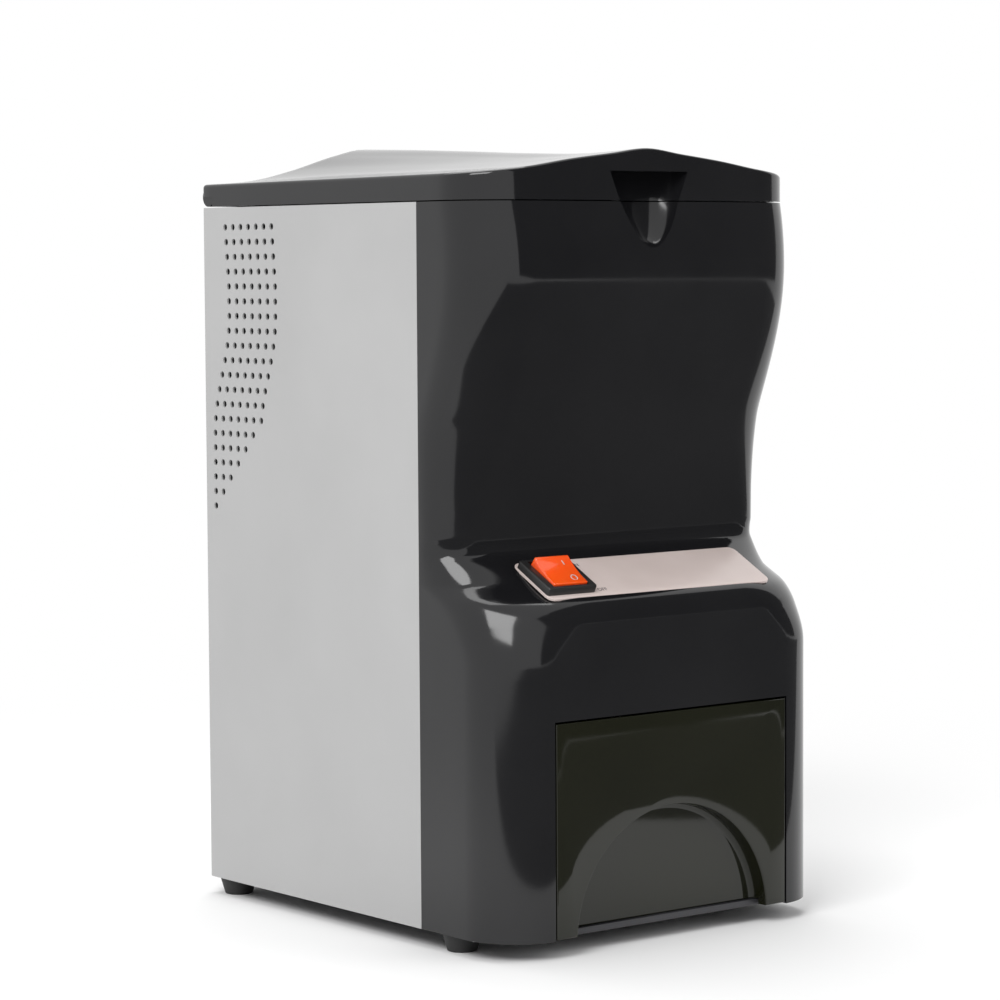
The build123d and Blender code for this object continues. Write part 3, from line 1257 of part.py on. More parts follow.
back_face = Plane(origin=(0, BACK_Y, 0), x_dir=(-1, 0, 0), z_dir=(0, 1, 0))
for screws_name, screw_places in (("hinge_screws", hinge_screw_places), ("panel_screws", panel_screw_places)):
    heads = [(-x, z) for x, z in screw_places]
    finish(screws_name, screws_on(back_face, heads, 3.5, 2.0, PANEL_SCREW_R, 6))

# ---- cord gland -----------------------------------------------------------------------------
GLAND_INSIDE_Y = BACK_Y - 12.0


with BuildPart() as cord_gland:
    with BuildSketch(Plane.XZ.offset(-BACK_Y)):
        with Locations(GLAND_PLACE):
            RegularPolygon(11.0, NECK_SIDES)
    extrude(amount=-GLAND_PROUD)
    chamfer(cord_gland.faces().sort_by(Axis.Y)[-1].edges(), length=1.2)
    with BuildSketch(Plane.XZ.offset(-BACK_Y)):
        with Locations(GLAND_PLACE):
            RegularPolygon(GLAND_NECK, NECK_SIDES)
    extrude(amount=BACK_Y - GLAND_INSIDE_Y)
    with BuildSketch(Plane.XZ.offset(-BACK_Y - GLAND_PROUD)):
        with Locations(GLAND_PLACE):
            Circle(GLAND_BORE)
    extrude(amount=40, mode=Mode.SUBTRACT)
finish("cord_gland", cord_gland.part)
with BuildPart() as gland_nut:
    with BuildSketch(Plane.XZ.offset(-BASE_REAR_Y)):
        with Locations(GLAND_PLACE):
            RegularPolygon(12.0, 6)
            RegularPolygon(GLAND_NECK + RUNNING, NECK_SIDES, mode=Mode.SUBTRACT)
    extrude(amount=5)
finish("gland_nut", gland_nut.part)
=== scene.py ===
# %% [markdown]
# # A counter-top ice crusher, dressed piece by piece
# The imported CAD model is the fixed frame. Every visible skin is modelled again here with
# smooth meshes and gets a procedural material, while the machinery inside keeps its CAD
# shape and only gets better materials. Work is in millimetres; each finished mesh is
# scaled to metres once, so the numbers read like a workshop drawing.

import json
import math

import bmesh
import bpy
from mathutils import Matrix, Vector


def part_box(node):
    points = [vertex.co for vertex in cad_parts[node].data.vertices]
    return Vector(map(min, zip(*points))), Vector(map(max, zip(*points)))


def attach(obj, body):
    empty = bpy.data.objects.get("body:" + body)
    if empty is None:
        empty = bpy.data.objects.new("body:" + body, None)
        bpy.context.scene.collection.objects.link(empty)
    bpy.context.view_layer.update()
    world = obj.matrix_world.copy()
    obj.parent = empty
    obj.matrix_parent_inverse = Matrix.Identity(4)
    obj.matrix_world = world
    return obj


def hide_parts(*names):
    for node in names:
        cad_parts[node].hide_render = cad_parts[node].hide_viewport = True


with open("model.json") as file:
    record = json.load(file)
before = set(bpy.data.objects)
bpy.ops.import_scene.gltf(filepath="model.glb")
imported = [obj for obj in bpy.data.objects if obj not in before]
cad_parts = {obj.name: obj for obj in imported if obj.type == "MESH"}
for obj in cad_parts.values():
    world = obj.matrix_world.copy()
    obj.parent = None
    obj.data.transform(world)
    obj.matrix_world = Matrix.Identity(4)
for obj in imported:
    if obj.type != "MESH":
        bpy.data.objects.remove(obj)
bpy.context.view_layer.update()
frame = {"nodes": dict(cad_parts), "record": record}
MM = 0.001
print("frame loaded:", len(frame["nodes"]), "nodes")


def size_of(node):
    """Lowest and highest corner of a CAD node, in millimetres."""
    low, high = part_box(node)
    return low / MM, high / MM


# %% [markdown]
# ## Helpers for every piece
# A bmesh is drawn in millimetres and turned into an object by `finish_piece`, which
# smooths it, marks the real edges sharp by their angle, and lets it ride on its body.
# `carve` joins or cuts two bmeshes with the exact boolean solver, and `thicken` gives an
# open skin its wall. Both read the evaluated modifier back into a plain bmesh, so no
# cutter object is left in the scene.

# %% Piece helpers
def temporary(bm, name):
    """Object that holds a bmesh for a moment."""
    mesh = bpy.data.meshes.new(name)
    bm.to_mesh(mesh)
    bm.free()
    holder = bpy.data.objects.new(name, mesh)
    bpy.context.scene.collection.objects.link(holder)
    return holder


def drop(*holders):
    """Removes objects that were only needed for a moment."""
    for holder in holders:
        mesh = holder.data
        bpy.data.objects.remove(holder)
        bpy.data.meshes.remove(mesh)


def evaluated(holder):
    """New bmesh with the modifiers of an object worked out."""
    graph = bpy.context.evaluated_depsgraph_get()
    mesh = bpy.data.meshes.new_from_object(holder.evaluated_get(graph))
    result = bmesh.new()
    result.from_mesh(mesh)
    bpy.data.meshes.remove(mesh)
    return result


def carve(bm, tool, operation="DIFFERENCE"):
    """Cuts the tool out of a bmesh, or joins or intersects the two."""
    holder, cutter = temporary(bm, "work"), temporary(tool, "tool")
    step = holder.modifiers.new("carve", "BOOLEAN")
    step.operation, step.object, step.solver = operation, cutter, "EXACT"
    result = evaluated(holder)
    drop(holder, cutter)
    return result


def thicken(bm, wall):
    """Gives an open skin a wall that grows inwards."""
    holder = temporary(bm, "skin")
    step = holder.modifiers.new("wall", "SOLIDIFY")
    step.thickness, step.offset, step.use_even_offset = wall, -1.0, True
    result = evaluated(holder)
    drop(holder)
    return result


def finish_piece(name, bm, body, material, replaced=(), sharp=32):
    """Turns a bmesh drawn in millimetres into a piece that rides on a body."""
    bmesh.ops.scale(bm, vec=(MM, MM, MM), verts=bm.verts)
    mesh = bpy.data.meshes.new(name)
    volume = bm.calc_volume(signed=True) * 1e6
    bm.to_mesh(mesh)
    bm.free()
    mesh.shade_smooth()
    mesh.set_sharp_from_angle(angle=math.radians(sharp))
    mesh.materials.append(material)
    piece = bpy.data.objects.new(name, mesh)
    bpy.context.scene.collection.objects.link(piece)
    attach(piece, body)
    if replaced:
        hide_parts(*replaced)
    print(f"{name}: {len(mesh.polygons)} faces, {volume:.1f} cm3")
    return piece


def verts_of(result):
    """Vertices in the result of a bmesh operator."""
    return [g for g in result.get("geom", result.get("verts", [])) if isinstance(g, bmesh.types.BMVert)]


def edges_of(result):
    """Edges in the result of a bmesh operator."""
    return [g for g in result["geom"] if isinstance(g, bmesh.types.BMEdge)]


def through(points, x):
    """Smooth curve through (x, value) points, read at x."""
    points = sorted(points)
    x = min(max(x, points[0][0]), points[-1][0])
    i = max(k for k in range(len(points) - 1) if points[k][0] <= x)
    (x0, a), (x1, b) = points[i], points[i + 1]
    before = points[max(i - 1, 0)]
    after = points[min(i + 2, len(points) - 1)]
    slope_a = (b - before[1]) / (x1 - before[0]) if i else (b - a) / (x1 - x0)
    slope_b = (after[1] - a) / (after[0] - x0) if i + 2 < len(points) else (b - a) / (x1 - x0)
    t, run = (x - x0) / (x1 - x0), x1 - x0
    return (
        a * (2 * t**3 - 3 * t**2 + 1)
        + slope_a * run * (t**3 - 2 * t**2 + t)
        + b * (3 * t**2 - 2 * t**3)
        + slope_b * run * (t**3 - t**2)
    )


# %% [markdown]
# ## Shared surface effects
# Three effects return in many finishes: a fine moulded or painted grain, wide soft smudges
# that change the gloss, and the directional scratches of rolled or ground metal. Each is a
# node group with named inputs, so a material only chooses its own values.

# %% Node group helper
def new_group(name, inputs, outputs):
    """Empty shader node group with its sockets, and its input and output nodes."""
    group = bpy.data.node_groups.new(name, "ShaderNodeTree")
    for label, kind, value in inputs:
        socket = group.interface.new_socket(label, in_out="INPUT", socket_type=kind)
        socket.default_value = value
    for label, kind in outputs:
        group.interface.new_socket(label, in_out="OUTPUT", socket_type=kind)
    return group, group.nodes.new("NodeGroupInput"), group.nodes.new("NodeGroupOutput")


def noise(tree, vector, scale, detail=2.0):
    """Noise texture read at a vector socket. The scale is a number or a socket."""
    node = tree.nodes.new("ShaderNodeTexNoise")
    node.inputs["Detail"].default_value = detail
    tree.links.new(vector, node.inputs["Vector"])
    if isinstance(scale, (int, float)):
        node.inputs["Scale"].default_value = scale
    else:
        tree.links.new(scale, node.inputs["Scale"])
    return node.outputs["Fac"]


def spread(tree, value, low, high):
    """Maps a noise value from its usual 0.3 to 0.7 onto low to high."""
    node = tree.nodes.new("ShaderNodeMapRange")
    node.inputs["From Min"].default_value = 0.3
    node.inputs["From Max"].default_value = 0.7
    for label, wanted in (("To Min", low), ("To Max", high)):
        if isinstance(wanted, (int, float)):
            node.inputs[label].default_value = wanted
        else:
            tree.links.new(wanted, node.inputs[label])
    tree.links.new(value, node.inputs["Value"])
    return node.outputs["Result"]


# %% Fine grain, smudges and scratches
FLOAT = "NodeSocketFloat"
grain_group, g_in, g_out = new_group(
    "FineGrain",
    [("Vector", "NodeSocketVector", (0, 0, 0)), ("Scale", FLOAT, 1500.0)],
    [("Height", FLOAT)],
)
grain_group.links.new(
    noise(grain_group, g_in.outputs["Vector"], g_in.outputs["Scale"], 3.0), g_out.inputs["Height"]
)

smudge_group, s_in, s_out = new_group(
    "Smudges",
    [
        ("Vector", "NodeSocketVector", (0, 0, 0)),
        ("Scale", FLOAT, 14.0),
        ("Clean", FLOAT, 0.1),
        ("Smudged", FLOAT, 0.2),
    ],
    [("Roughness", FLOAT), ("Mask", FLOAT)],
)
smudge_value = noise(smudge_group, s_in.outputs["Vector"], s_in.outputs["Scale"], 4.0)
smudge_group.links.new(
    spread(smudge_group, smudge_value, s_in.outputs["Clean"], s_in.outputs["Smudged"]),
    s_out.inputs["Roughness"],
)
smudge_group.links.new(spread(smudge_group, smudge_value, 0.0, 1.0), s_out.inputs["Mask"])

scratch_group, b_in, b_out = new_group(
    "RolledScratches",
    [("Vector", "NodeSocketVector", (0, 0, 0)), ("Scale", FLOAT, 60.0)],
    [("Height", FLOAT)],
)
stretch = scratch_group.nodes.new("ShaderNodeMapping")
stretch.inputs["Scale"].default_value = (30.0, 30.0, 1.0)
scratch_group.links.new(b_in.outputs["Vector"], stretch.inputs["Vector"])
scratch_group.links.new(
    noise(scratch_group, stretch.outputs["Vector"], b_in.outputs["Scale"], 2.0), b_out.inputs["Height"]
)
print("node groups:", [g.name for g in bpy.data.node_groups])

# %% [markdown]
# ## One recipe for opaque finishes
# Plastics, paint and metals differ in colour, gloss and grain, not in structure. The recipe
# mixes two close colours with the smudge mask, takes the roughness from the same mask and
# the bump from the grain or the scratches. All patterns read Object coordinates, which are
# metres, so a scale of 1500 gives features well under a millimetre.

# %% Finish recipe
BUMP_DEPTH = 0.0002


def finish_material(
    name, colour, second, rough, metallic=0.0, grain=1500.0, bump=0.05, rolled=False, coat=0.0, smudge=14.0
):
    """Principled material with two close colours, a gloss that varies and a fine relief."""
    material = bpy.data.materials.new(name)
    material.use_nodes = True
    tree = material.node_tree
    shader = tree.nodes["Principled BSDF"]
    place = tree.nodes.new("ShaderNodeTexCoord").outputs["Object"]
    marks = tree.nodes.new("ShaderNodeGroup")
    marks.node_tree = smudge_group
    marks.inputs["Scale"].default_value = smudge
    marks.inputs["Clean"].default_value, marks.inputs["Smudged"].default_value = rough
    tree.links.new(place, marks.inputs["Vector"])
    mix = tree.nodes.new("ShaderNodeMix")
    mix.data_type = "RGBA"
    mix.inputs["A"].default_value = (*colour, 1.0)
    mix.inputs["B"].default_value = (*second, 1.0)
    tree.links.new(marks.outputs["Mask"], mix.inputs["Factor"])
    tree.links.new(mix.outputs["Result"], shader.inputs["Base Color"])
    tree.links.new(marks.outputs["Roughness"], shader.inputs["Roughness"])
    relief = tree.nodes.new("ShaderNodeGroup")
    relief.node_tree = scratch_group if rolled else grain_group
    relief.inputs["Scale"].default_value = grain
    tree.links.new(place, relief.inputs["Vector"])
    bumps = tree.nodes.new("ShaderNodeBump")
    bumps.inputs["Strength"].default_value = bump
    bumps.inputs["Distance"].default_value = BUMP_DEPTH
    tree.links.new(relief.outputs["Height"], bumps.inputs["Height"])
    tree.links.new(bumps.outputs["Normal"], shader.inputs["Normal"])
    shader.inputs["Metallic"].default_value = metallic
    shader.inputs["Coat Weight"].default_value = coat
    shader.inputs["Coat Roughness"].default_value = 0.05
    return material


# %% Finishes of this machine
gloss_black = finish_material(
    "gloss_black", (0.006, 0.006, 0.007), (0.009, 0.009, 0.01), (0.07, 0.12), grain=420.0, bump=0.02
)
sheet_grey = finish_material(
    "sheet_grey", (0.43, 0.43, 0.43), (0.46, 0.46, 0.46), (0.38, 0.5), grain=2600.0, bump=0.12
)
zinc_steel = finish_material(
    "zinc_steel", (0.55, 0.55, 0.56), (0.62, 0.62, 0.63), (0.28, 0.42), 1.0, 60.0, 0.1, True
)
ground_steel = finish_material(
    "ground_steel", (0.6, 0.6, 0.61), (0.68, 0.68, 0.69), (0.16, 0.28), 1.0, 90.0, 0.12, True
)
gear_steel = finish_material(
    "gear_steel", (0.34, 0.34, 0.35), (0.42, 0.41, 0.4), (0.25, 0.4), 1.0, 90.0, 0.1, True
)
cast_metal = finish_material("cast_metal", (0.5, 0.5, 0.5), (0.6, 0.6, 0.6), (0.42, 0.6), 1.0, 900.0, 0.5)
bearing_bronze = finish_material(
    "bearing_bronze", (0.5, 0.3, 0.12), (0.6, 0.4, 0.18), (0.3, 0.45), 1.0, 1500.0, 0.2
)
white_plastic = finish_material(
    "white_plastic", (0.66, 0.66, 0.63), (0.72, 0.72, 0.7), (0.4, 0.5), grain=900.0, bump=0.08
)
grey_plastic = finish_material(
    "grey_plastic", (0.1, 0.1, 0.105), (0.13, 0.13, 0.135), (0.4, 0.5), grain=900.0, bump=0.1
)
black_plastic = finish_material(
    "black_plastic", (0.012, 0.012, 0.012), (0.02, 0.02, 0.02), (0.3, 0.42), grain=1300.0, bump=0.12
)
foot_rubber = finish_material(
    "foot_rubber", (0.012, 0.012, 0.012), (0.022, 0.022, 0.022), (0.55, 0.7), grain=1800.0, bump=0.2
)
motor_enamel = finish_material(
    "motor_enamel", (0.03, 0.03, 0.034), (0.045, 0.045, 0.05), (0.3, 0.45), grain=700.0, bump=0.25
)
magnet_nickel = finish_material("magnet_nickel", (0.6, 0.6, 0.58), (0.68, 0.67, 0.65), (0.12, 0.2), 1.0)
label_print = finish_material(
    "label_print", (0.6, 0.505, 0.475), (0.66, 0.565, 0.535), (0.3, 0.38),
    grain=3000.0, bump=0.04, smudge=30.0,
)
ink = finish_material("ink", (0.03, 0.022, 0.03), (0.05, 0.04, 0.05), (0.4, 0.5), grain=3000.0, bump=0.03)
cap_mark = finish_material(
    "cap_mark", (0.55, 0.5, 0.45), (0.65, 0.6, 0.55), (0.35, 0.45), grain=3000.0, bump=0.03
)
print("finishes:", len(bpy.data.materials))

# %% [markdown]
# ## Smoked drawer and orange rocker
# The drawer is a very dark olive plastic with a high gloss, drawn opaque. The rocker is a clear
# orange moulding with a lamp housing behind it, so light spreads inside it and its rim
# looks lighter than its face.

# %% Drawer and rocker finishes
smoke = finish_material(
    "smoke", (0.007, 0.0075, 0.003), (0.009, 0.0095, 0.004), (0.04, 0.08), grain=420.0, bump=0.015
)
orange = finish_material(
    "orange", (1.0, 0.085, 0.006), (1.0, 0.115, 0.012), (0.12, 0.2), grain=900.0, bump=0.03, coat=0.5
)
orange_shader = orange.node_tree.nodes["Principled BSDF"]
orange_shader.inputs["Subsurface Weight"].default_value = 0.35
orange_shader.inputs["Subsurface Radius"].default_value = (0.004, 0.0012, 0.0004)
orange_shader.inputs["Subsurface Scale"].default_value = 1.0
print("drawer and rocker finishes ready")

# %% [markdown]
# ## The casing's measures
# The black front is one moulding with an S-shaped side profile: a straight block, a sloped
# console with a rounded front edge, a waist, and an upper bulge. `front_y` is that profile,
# read at any height. The rounded corners reach further round at the console and less at
# the waist, so `corner_reach` changes with height too.

# %% Profile of the casing
casing_low, casing_high = size_of("front_casing")
bin_low, bin_high = size_of("ice_bin")
HALF = casing_high.x
FRONT_Y = bin_low.y
BASE_Z, CASING_TOP = casing_low.z, casing_high.z
BACK_Y = size_of("wrap_panel")[1].y
SHEET_FRONT_Y = FRONT_Y + 66.8
WALL = 3.0
SLOPE = math.radians(27.4)
EDGE_Z, EDGE_R = 160.0, 13.3
WAIST_Y, WAIST_R = FRONT_Y + 47.6, 8.0
BULGE_Y, BULGE_Z = FRONT_Y + 14.3, 331.0
edge_y = FRONT_Y + EDGE_R
slope_start = (edge_y - EDGE_R * math.sin(SLOPE), EDGE_Z + EDGE_R * math.cos(SLOPE))


def slope_z(y):
    """Height of the console's slope above a given y."""
    return slope_start[1] + (y - slope_start[0]) * math.tan(SLOPE)


tangent = WAIST_R * math.tan((math.pi / 2 - SLOPE) / 2)
slope_end_z = slope_z(WAIST_Y) - tangent * math.sin(SLOPE)
waist_z = slope_z(WAIST_Y) + tangent


def front_y(z):
    """Y of the casing's front at height z."""
    if z <= EDGE_Z:
        return FRONT_Y
    if z <= slope_start[1]:
        return edge_y - math.sqrt(EDGE_R**2 - (z - EDGE_Z) ** 2)
    if z <= slope_end_z:
        return slope_start[0] + (z - slope_start[1]) / math.tan(SLOPE)
    if z <= waist_z:
        return WAIST_Y - WAIST_R + math.sqrt(WAIST_R**2 - (z - waist_z) ** 2)
    if z <= BULGE_Z:
        turn = math.pi * (z - waist_z) / (BULGE_Z - waist_z)
        return WAIST_Y + (BULGE_Y - WAIST_Y) * (1 - math.cos(turn)) / 2
    return BULGE_Y + 3.1 * ((z - BULGE_Z) / 30) ** 2


def ease(z, start, end, first, last):
    """Smooth change from first to last between two heights."""
    share = min(max((z - start) / (end - start), 0.0), 1.0)
    return first + (last - first) * (1 - math.cos(math.pi * share)) / 2


def corner_reach(z, axis):
    """Reach of the rounded corner along X (0) or Y (1)."""
    console, waist = ((55.0, 19.0), (48.0, 18.0))[axis]
    if z < 176:
        return ease(z, 140, 176, 32.0, console)
    if z < 200:
        return ease(z, 176, 200, console, waist)
    return ease(z, 200, 262, waist, 32.0)


print("profile: waist at", round(WAIST_Y, 1), "bulge at", round(BULGE_Y, 1))

# %% [markdown]
# ## Casing skin
# A skin whose section changes all the way up is drawn as a row of vertices round the plan,
# extruded upwards edge by edge. After each extrusion the new row is moved onto the plan
# outline at its own height. Each vertex carries its station number in a layer, because an
# extrusion copies the layers and so the new vertex knows its place.

# %% Plan outline and rising rows
SIDE_STEPS, CORNER_STEPS, FRONT_STEPS = 4, 20, 44


def plan_row(z):
    """Points of the casing's plan outline at height z, from rear left to rear right."""
    front = front_y(z)
    reach_x = corner_reach(z, 0)
    reach_y = min(corner_reach(z, 1), SHEET_FRONT_Y - front - 0.6)
    left = []
    for i in range(SIDE_STEPS):
        left.append((-HALF, SHEET_FRONT_Y + (front + reach_y - SHEET_FRONT_Y) * i / SIDE_STEPS))
    for i in range(CORNER_STEPS):
        turn = math.pi / 2 * i / CORNER_STEPS
        left.append((-HALF + reach_x * (1 - math.cos(turn)), front + reach_y * (1 - math.sin(turn))))
    middle = [
        ((HALF - reach_x) * (2 * i / FRONT_STEPS - 1), front) for i in range(FRONT_STEPS + 1)
    ]
    return left + middle + [(-x, y) for x, y in reversed(left)]


def rise_rows(bm, rows, heights):
    """Extrudes a row of vertices up through the given heights."""
    station = bm.verts.layers.int.new("station")
    verts = []
    for i, (x, y) in enumerate(rows(heights[0])):
        vert = bm.verts.new((x, y, heights[0]))
        vert[station] = i
        verts.append(vert)
    edges = [bm.edges.new(pair) for pair in zip(verts, verts[1:])]
    for z in heights[1:]:
        result = bmesh.ops.extrude_edge_only(bm, edges=edges)
        edges = edges_of(result)
        edges = [e for e in edges if all(abs(v.co.z - e.verts[0].co.z) < 1e-6 for v in e.verts)]
        places = rows(z)
        for vert in verts_of(result):
            x, y = places[vert[station]]
            vert.co = (x, y, z)
    return bm


heights = [BASE_Z, 40.0, 80.0, 110.0, 125.0, 134.0, 140.0]
heights += [140.0 + 2.0 * i for i in range(1, 8)]
heights += [154.0 + 1.25 * i for i in range(1, 50)]
heights = [z for z in heights if z < 214] + [214.0 + 3.5 * i for i in range(43)]
heights = [z for z in heights if z < CASING_TOP - 1] + [CASING_TOP]
casing = rise_rows(bmesh.new(), plan_row, heights)
casing.normal_update()
if min(casing.faces, key=lambda f: f.calc_center_median().x).normal.x > 0:
    bmesh.ops.reverse_faces(casing, faces=casing.faces[:])
print("casing skin:", len(casing.faces), "faces")

# %% [markdown]
# ## Bin opening
# The opening is straight-sided, so three plane cuts put edges exactly where it ends, and
# the faces inside it are deleted. A bisect keeps the skin's own curve untouched, which a
# boolean on an open skin would not.

# %% Cut the bin opening, then give the wall
OPENING_HALF, OPENING_TOP = 75.0, bin_high.z + 1.0
for point, normal in (
    ((OPENING_HALF, 0, 0), (1, 0, 0)), ((-OPENING_HALF, 0, 0), (1, 0, 0)), ((0, 0, OPENING_TOP), (0, 0, 1))
):
    bmesh.ops.bisect_plane(
        casing, geom=casing.verts[:] + casing.edges[:] + casing.faces[:], dist=0.001,
        plane_co=point, plane_no=normal,
    )
inside = [
    f for f in casing.faces
    if abs(f.calc_center_median().x) < OPENING_HALF and f.calc_center_median().z < OPENING_TOP
]
bmesh.ops.delete(casing, geom=inside, context="FACES")
casing = thicken(casing, WALL)
print("casing with wall:", len(casing.faces), "faces")

# %% [markdown]
# ## Finger scoop
# Half of the scoop is in the casing and half in the lid, so the same round bowl shapes
# both. A half profile is spun about an upright axis just in front of the skin. One bowl a
# wall thicker backs the scoop, cut off behind the skin, and the thinner bowl cuts it out.

# %% Scoop bowls
SCOOP_Y = front_y(CASING_TOP) - 6.7
SCOOP_TIP = 338.0


def scoop_radius(z):
    """Radius of the scoop's bowl at height z."""
    rise = max(z - SCOOP_TIP, 0.0)
    return 3.75 * math.sqrt(rise) + 0.07 * rise


def scoop_bowl(extra, top):
    """Closed bowl of the scoop, grown by a wall, up to a height."""
    bm = bmesh.new()
    steps = 22
    verts = [bm.verts.new((0, SCOOP_Y, SCOOP_TIP - extra))]
    for i in range(1, steps + 1):
        share = i / steps
        z = SCOOP_TIP + (top - SCOOP_TIP) * share**1.6
        verts.append(bm.verts.new((scoop_radius(z) + extra, SCOOP_Y, z)))
    verts.append(bm.verts.new((0, SCOOP_Y, top)))
    edges = [bm.edges.new(pair) for pair in zip(verts, verts[1:])]
    bmesh.ops.spin(
        bm, geom=verts + edges, cent=(0, SCOOP_Y, 0), axis=(0, 0, 1), angle=2 * math.pi,
        steps=72, use_merge=True,
    )
    bmesh.ops.remove_doubles(bm, verts=bm.verts, dist=0.0005)
    bmesh.ops.recalc_face_normals(bm, faces=bm.faces)
    return bm


def cut_away(bm, point, normal):
    """Cuts a closed bmesh at a plane, drops the side the normal points to, and caps it."""
    result = bmesh.ops.bisect_plane(
        bm, geom=bm.verts[:] + bm.edges[:] + bm.faces[:], plane_co=point, plane_no=normal, clear_outer=True
    )
    rim = [g for g in result["geom_cut"] if isinstance(g, bmesh.types.BMEdge)]
    bmesh.ops.holes_fill(bm, edges=rim)
    return bm


backing = scoop_bowl(WALL, CASING_TOP)
behind = Vector((0, front_y(CASING_TOP) + WALL / 2, CASING_TOP))
lean = Vector((0, front_y(CASING_TOP) - front_y(SCOOP_TIP), CASING_TOP - SCOOP_TIP)).normalized()
backing = cut_away(backing, behind, Vector((0, -lean.z, lean.y)))
bmesh.ops.recalc_face_normals(backing, faces=backing.faces)
casing = carve(casing, backing, "UNION")
casing = carve(casing, scoop_bowl(0.0, CASING_TOP + 8))
print("scoop cut:", len(casing.faces), "faces")

# %% [markdown]
# ## Console pocket
# The label lies in a shallow pocket on the console, and the switch drops through a square
# hole. Both cutters are blocks laid on the console's own plane: a cube, scaled and turned;
# the pocket's upright edges are rounded by a bevel.

# %% Blocks on the console's plane
console_y = (slope_start[0] + WAIST_Y) / 2 - 5.2
console = Matrix.Translation((0, console_y, slope_z(console_y))) @ Matrix.Rotation(SLOPE, 4, "X")
LABEL_SIZE = (143.0, 33.0)
LABEL_THICK, LABEL_POCKET = 1.2, 1.0
SWITCH_X = -56.0
BLOCK_SIZE = (26.8, 25.2)


def block(size, centre, corner=0.0, segments=6, rim=0.0):
    """Block with rounded upright corners and, where wanted, a rounded top rim."""
    bm = bmesh.new()
    bmesh.ops.create_cube(bm, size=1.0)
    bmesh.ops.scale(bm, vec=size, verts=bm.verts)
    if corner:
        upright = [e for e in bm.edges if abs(e.verts[0].co.z - e.verts[1].co.z) > 1e-6]
        bmesh.ops.bevel(
            bm, geom=upright, offset=corner, offset_type="OFFSET", segments=segments, profile=0.5,
            affect="EDGES", material=-1,
        )
    if rim:
        top = [e for e in bm.edges if all(abs(v.co.z - size[2] / 2) < 1e-6 for v in e.verts)]
        bmesh.ops.bevel(
            bm, geom=top, offset=rim, offset_type="OFFSET", segments=3, profile=0.5,
            affect="EDGES", material=-1,
        )
    bmesh.ops.translate(bm, vec=centre, verts=bm.verts)
    return bm


def laid(bm, matrix):
    """The same bmesh moved onto a plane."""
    bmesh.ops.transform(bm, matrix=matrix, verts=bm.verts)
    return bm


pocket = block((LABEL_SIZE[0] + 0.4, LABEL_SIZE[1] + 0.4, 6.0), (0, 0, 3.0 - LABEL_POCKET), 4.2)
casing = carve(casing, laid(pocket, console))
hole = block((BLOCK_SIZE[0] + 0.4, BLOCK_SIZE[1] + 0.4, 16.0), (SWITCH_X, 0, 0))
casing = carve(casing, laid(hole, console))
finish_piece("front_skin", casing, "root", gloss_black, ["front_casing"])

# %% [markdown]
# ## Side sheet
# One painted sheet wraps both sides and the back. Four vertices in plan, the two rear ones
# rounded by a vertex bevel, give the fold line; it is extruded up, thickened, and the vent
# field is drilled through the left side with one cutter.

# %% Fold and drill the sheet
SHEET = 1.0
sheet = bmesh.new()
corners = [
    sheet.verts.new((x, y, BASE_Z))
    for x, y in ((-HALF, SHEET_FRONT_Y), (-HALF, BACK_Y), (HALF, BACK_Y), (HALF, SHEET_FRONT_Y))
]
for pair in zip(corners, corners[1:]):
    sheet.edges.new(pair)
bmesh.ops.bevel(
    sheet, geom=corners[1:3], offset=3.0, offset_type="OFFSET", segments=6, profile=0.5,
    affect="VERTICES", material=-1,
)
result = bmesh.ops.extrude_edge_only(sheet, edges=sheet.edges[:])
bmesh.ops.translate(sheet, vec=(0, 0, CASING_TOP - BASE_Z), verts=verts_of(result))
bmesh.ops.recalc_face_normals(sheet, faces=sheet.faces)
left_face = min(sheet.faces, key=lambda f: f.calc_center_median().x)
if left_face.normal.x > 0:
    bmesh.ops.reverse_faces(sheet, faces=sheet.faces)
sheet = thicken(sheet, SHEET)

# %% Vent field
VENT_PITCH = (7.0, 7.63)
VENT_TOP, VENT_R = 351.0, 1.75
VENT_COUNTS = [7] * 14 + [6, 5, 4, 3, 2, 1]
drill = bmesh.new()
for row, count in enumerate(VENT_COUNTS):
    rear = 99.8 + ease(row, 6, 14, 0, 14.2) + 0.7 * max(4 - row, 0)
    for i in range(count):
        place = Matrix.Translation((-HALF, rear - i * VENT_PITCH[0], VENT_TOP - row * VENT_PITCH[1]))
        bmesh.ops.create_cone(
            drill, cap_ends=True, segments=14, radius1=VENT_R, radius2=VENT_R, depth=6.0,
            matrix=place @ Matrix.Rotation(math.pi / 2, 4, "Y"),
        )
sheet = carve(sheet, drill)
GLAND_BORE = (-60.0, 46.0, 8.1)
SCREW_R = 1.85
SCREW_PLACES = ((-66.0, 344.0), (66.0, 344.0), (-85.0, 19.0), (0.0, 19.0), (85.0, 19.0))
bores = bmesh.new()
for x, z, radius in (GLAND_BORE, *[(x, z, SCREW_R) for x, z in SCREW_PLACES]):
    bmesh.ops.create_cone(
        bores, cap_ends=True, segments=24, radius1=radius, radius2=radius, depth=12.0,
        matrix=Matrix.Translation((x, BACK_Y, z)) @ Matrix.Rotation(math.pi / 2, 4, "X"),
    )
sheet = carve(sheet, bores)
for side in (-1, 1):
    flange = block((10.0, 170.0, SHEET), (side * (HALF - 6.5), SHEET_FRONT_Y + 86.0, CASING_TOP - 3.0))
    mesh_part = bpy.data.meshes.new("flange")
    flange.to_mesh(mesh_part)
    flange.free()
    sheet.from_mesh(mesh_part)
    bpy.data.meshes.remove(mesh_part)
finish_piece("side_sheet", sheet, "root", sheet_grey, ["wrap_panel"])

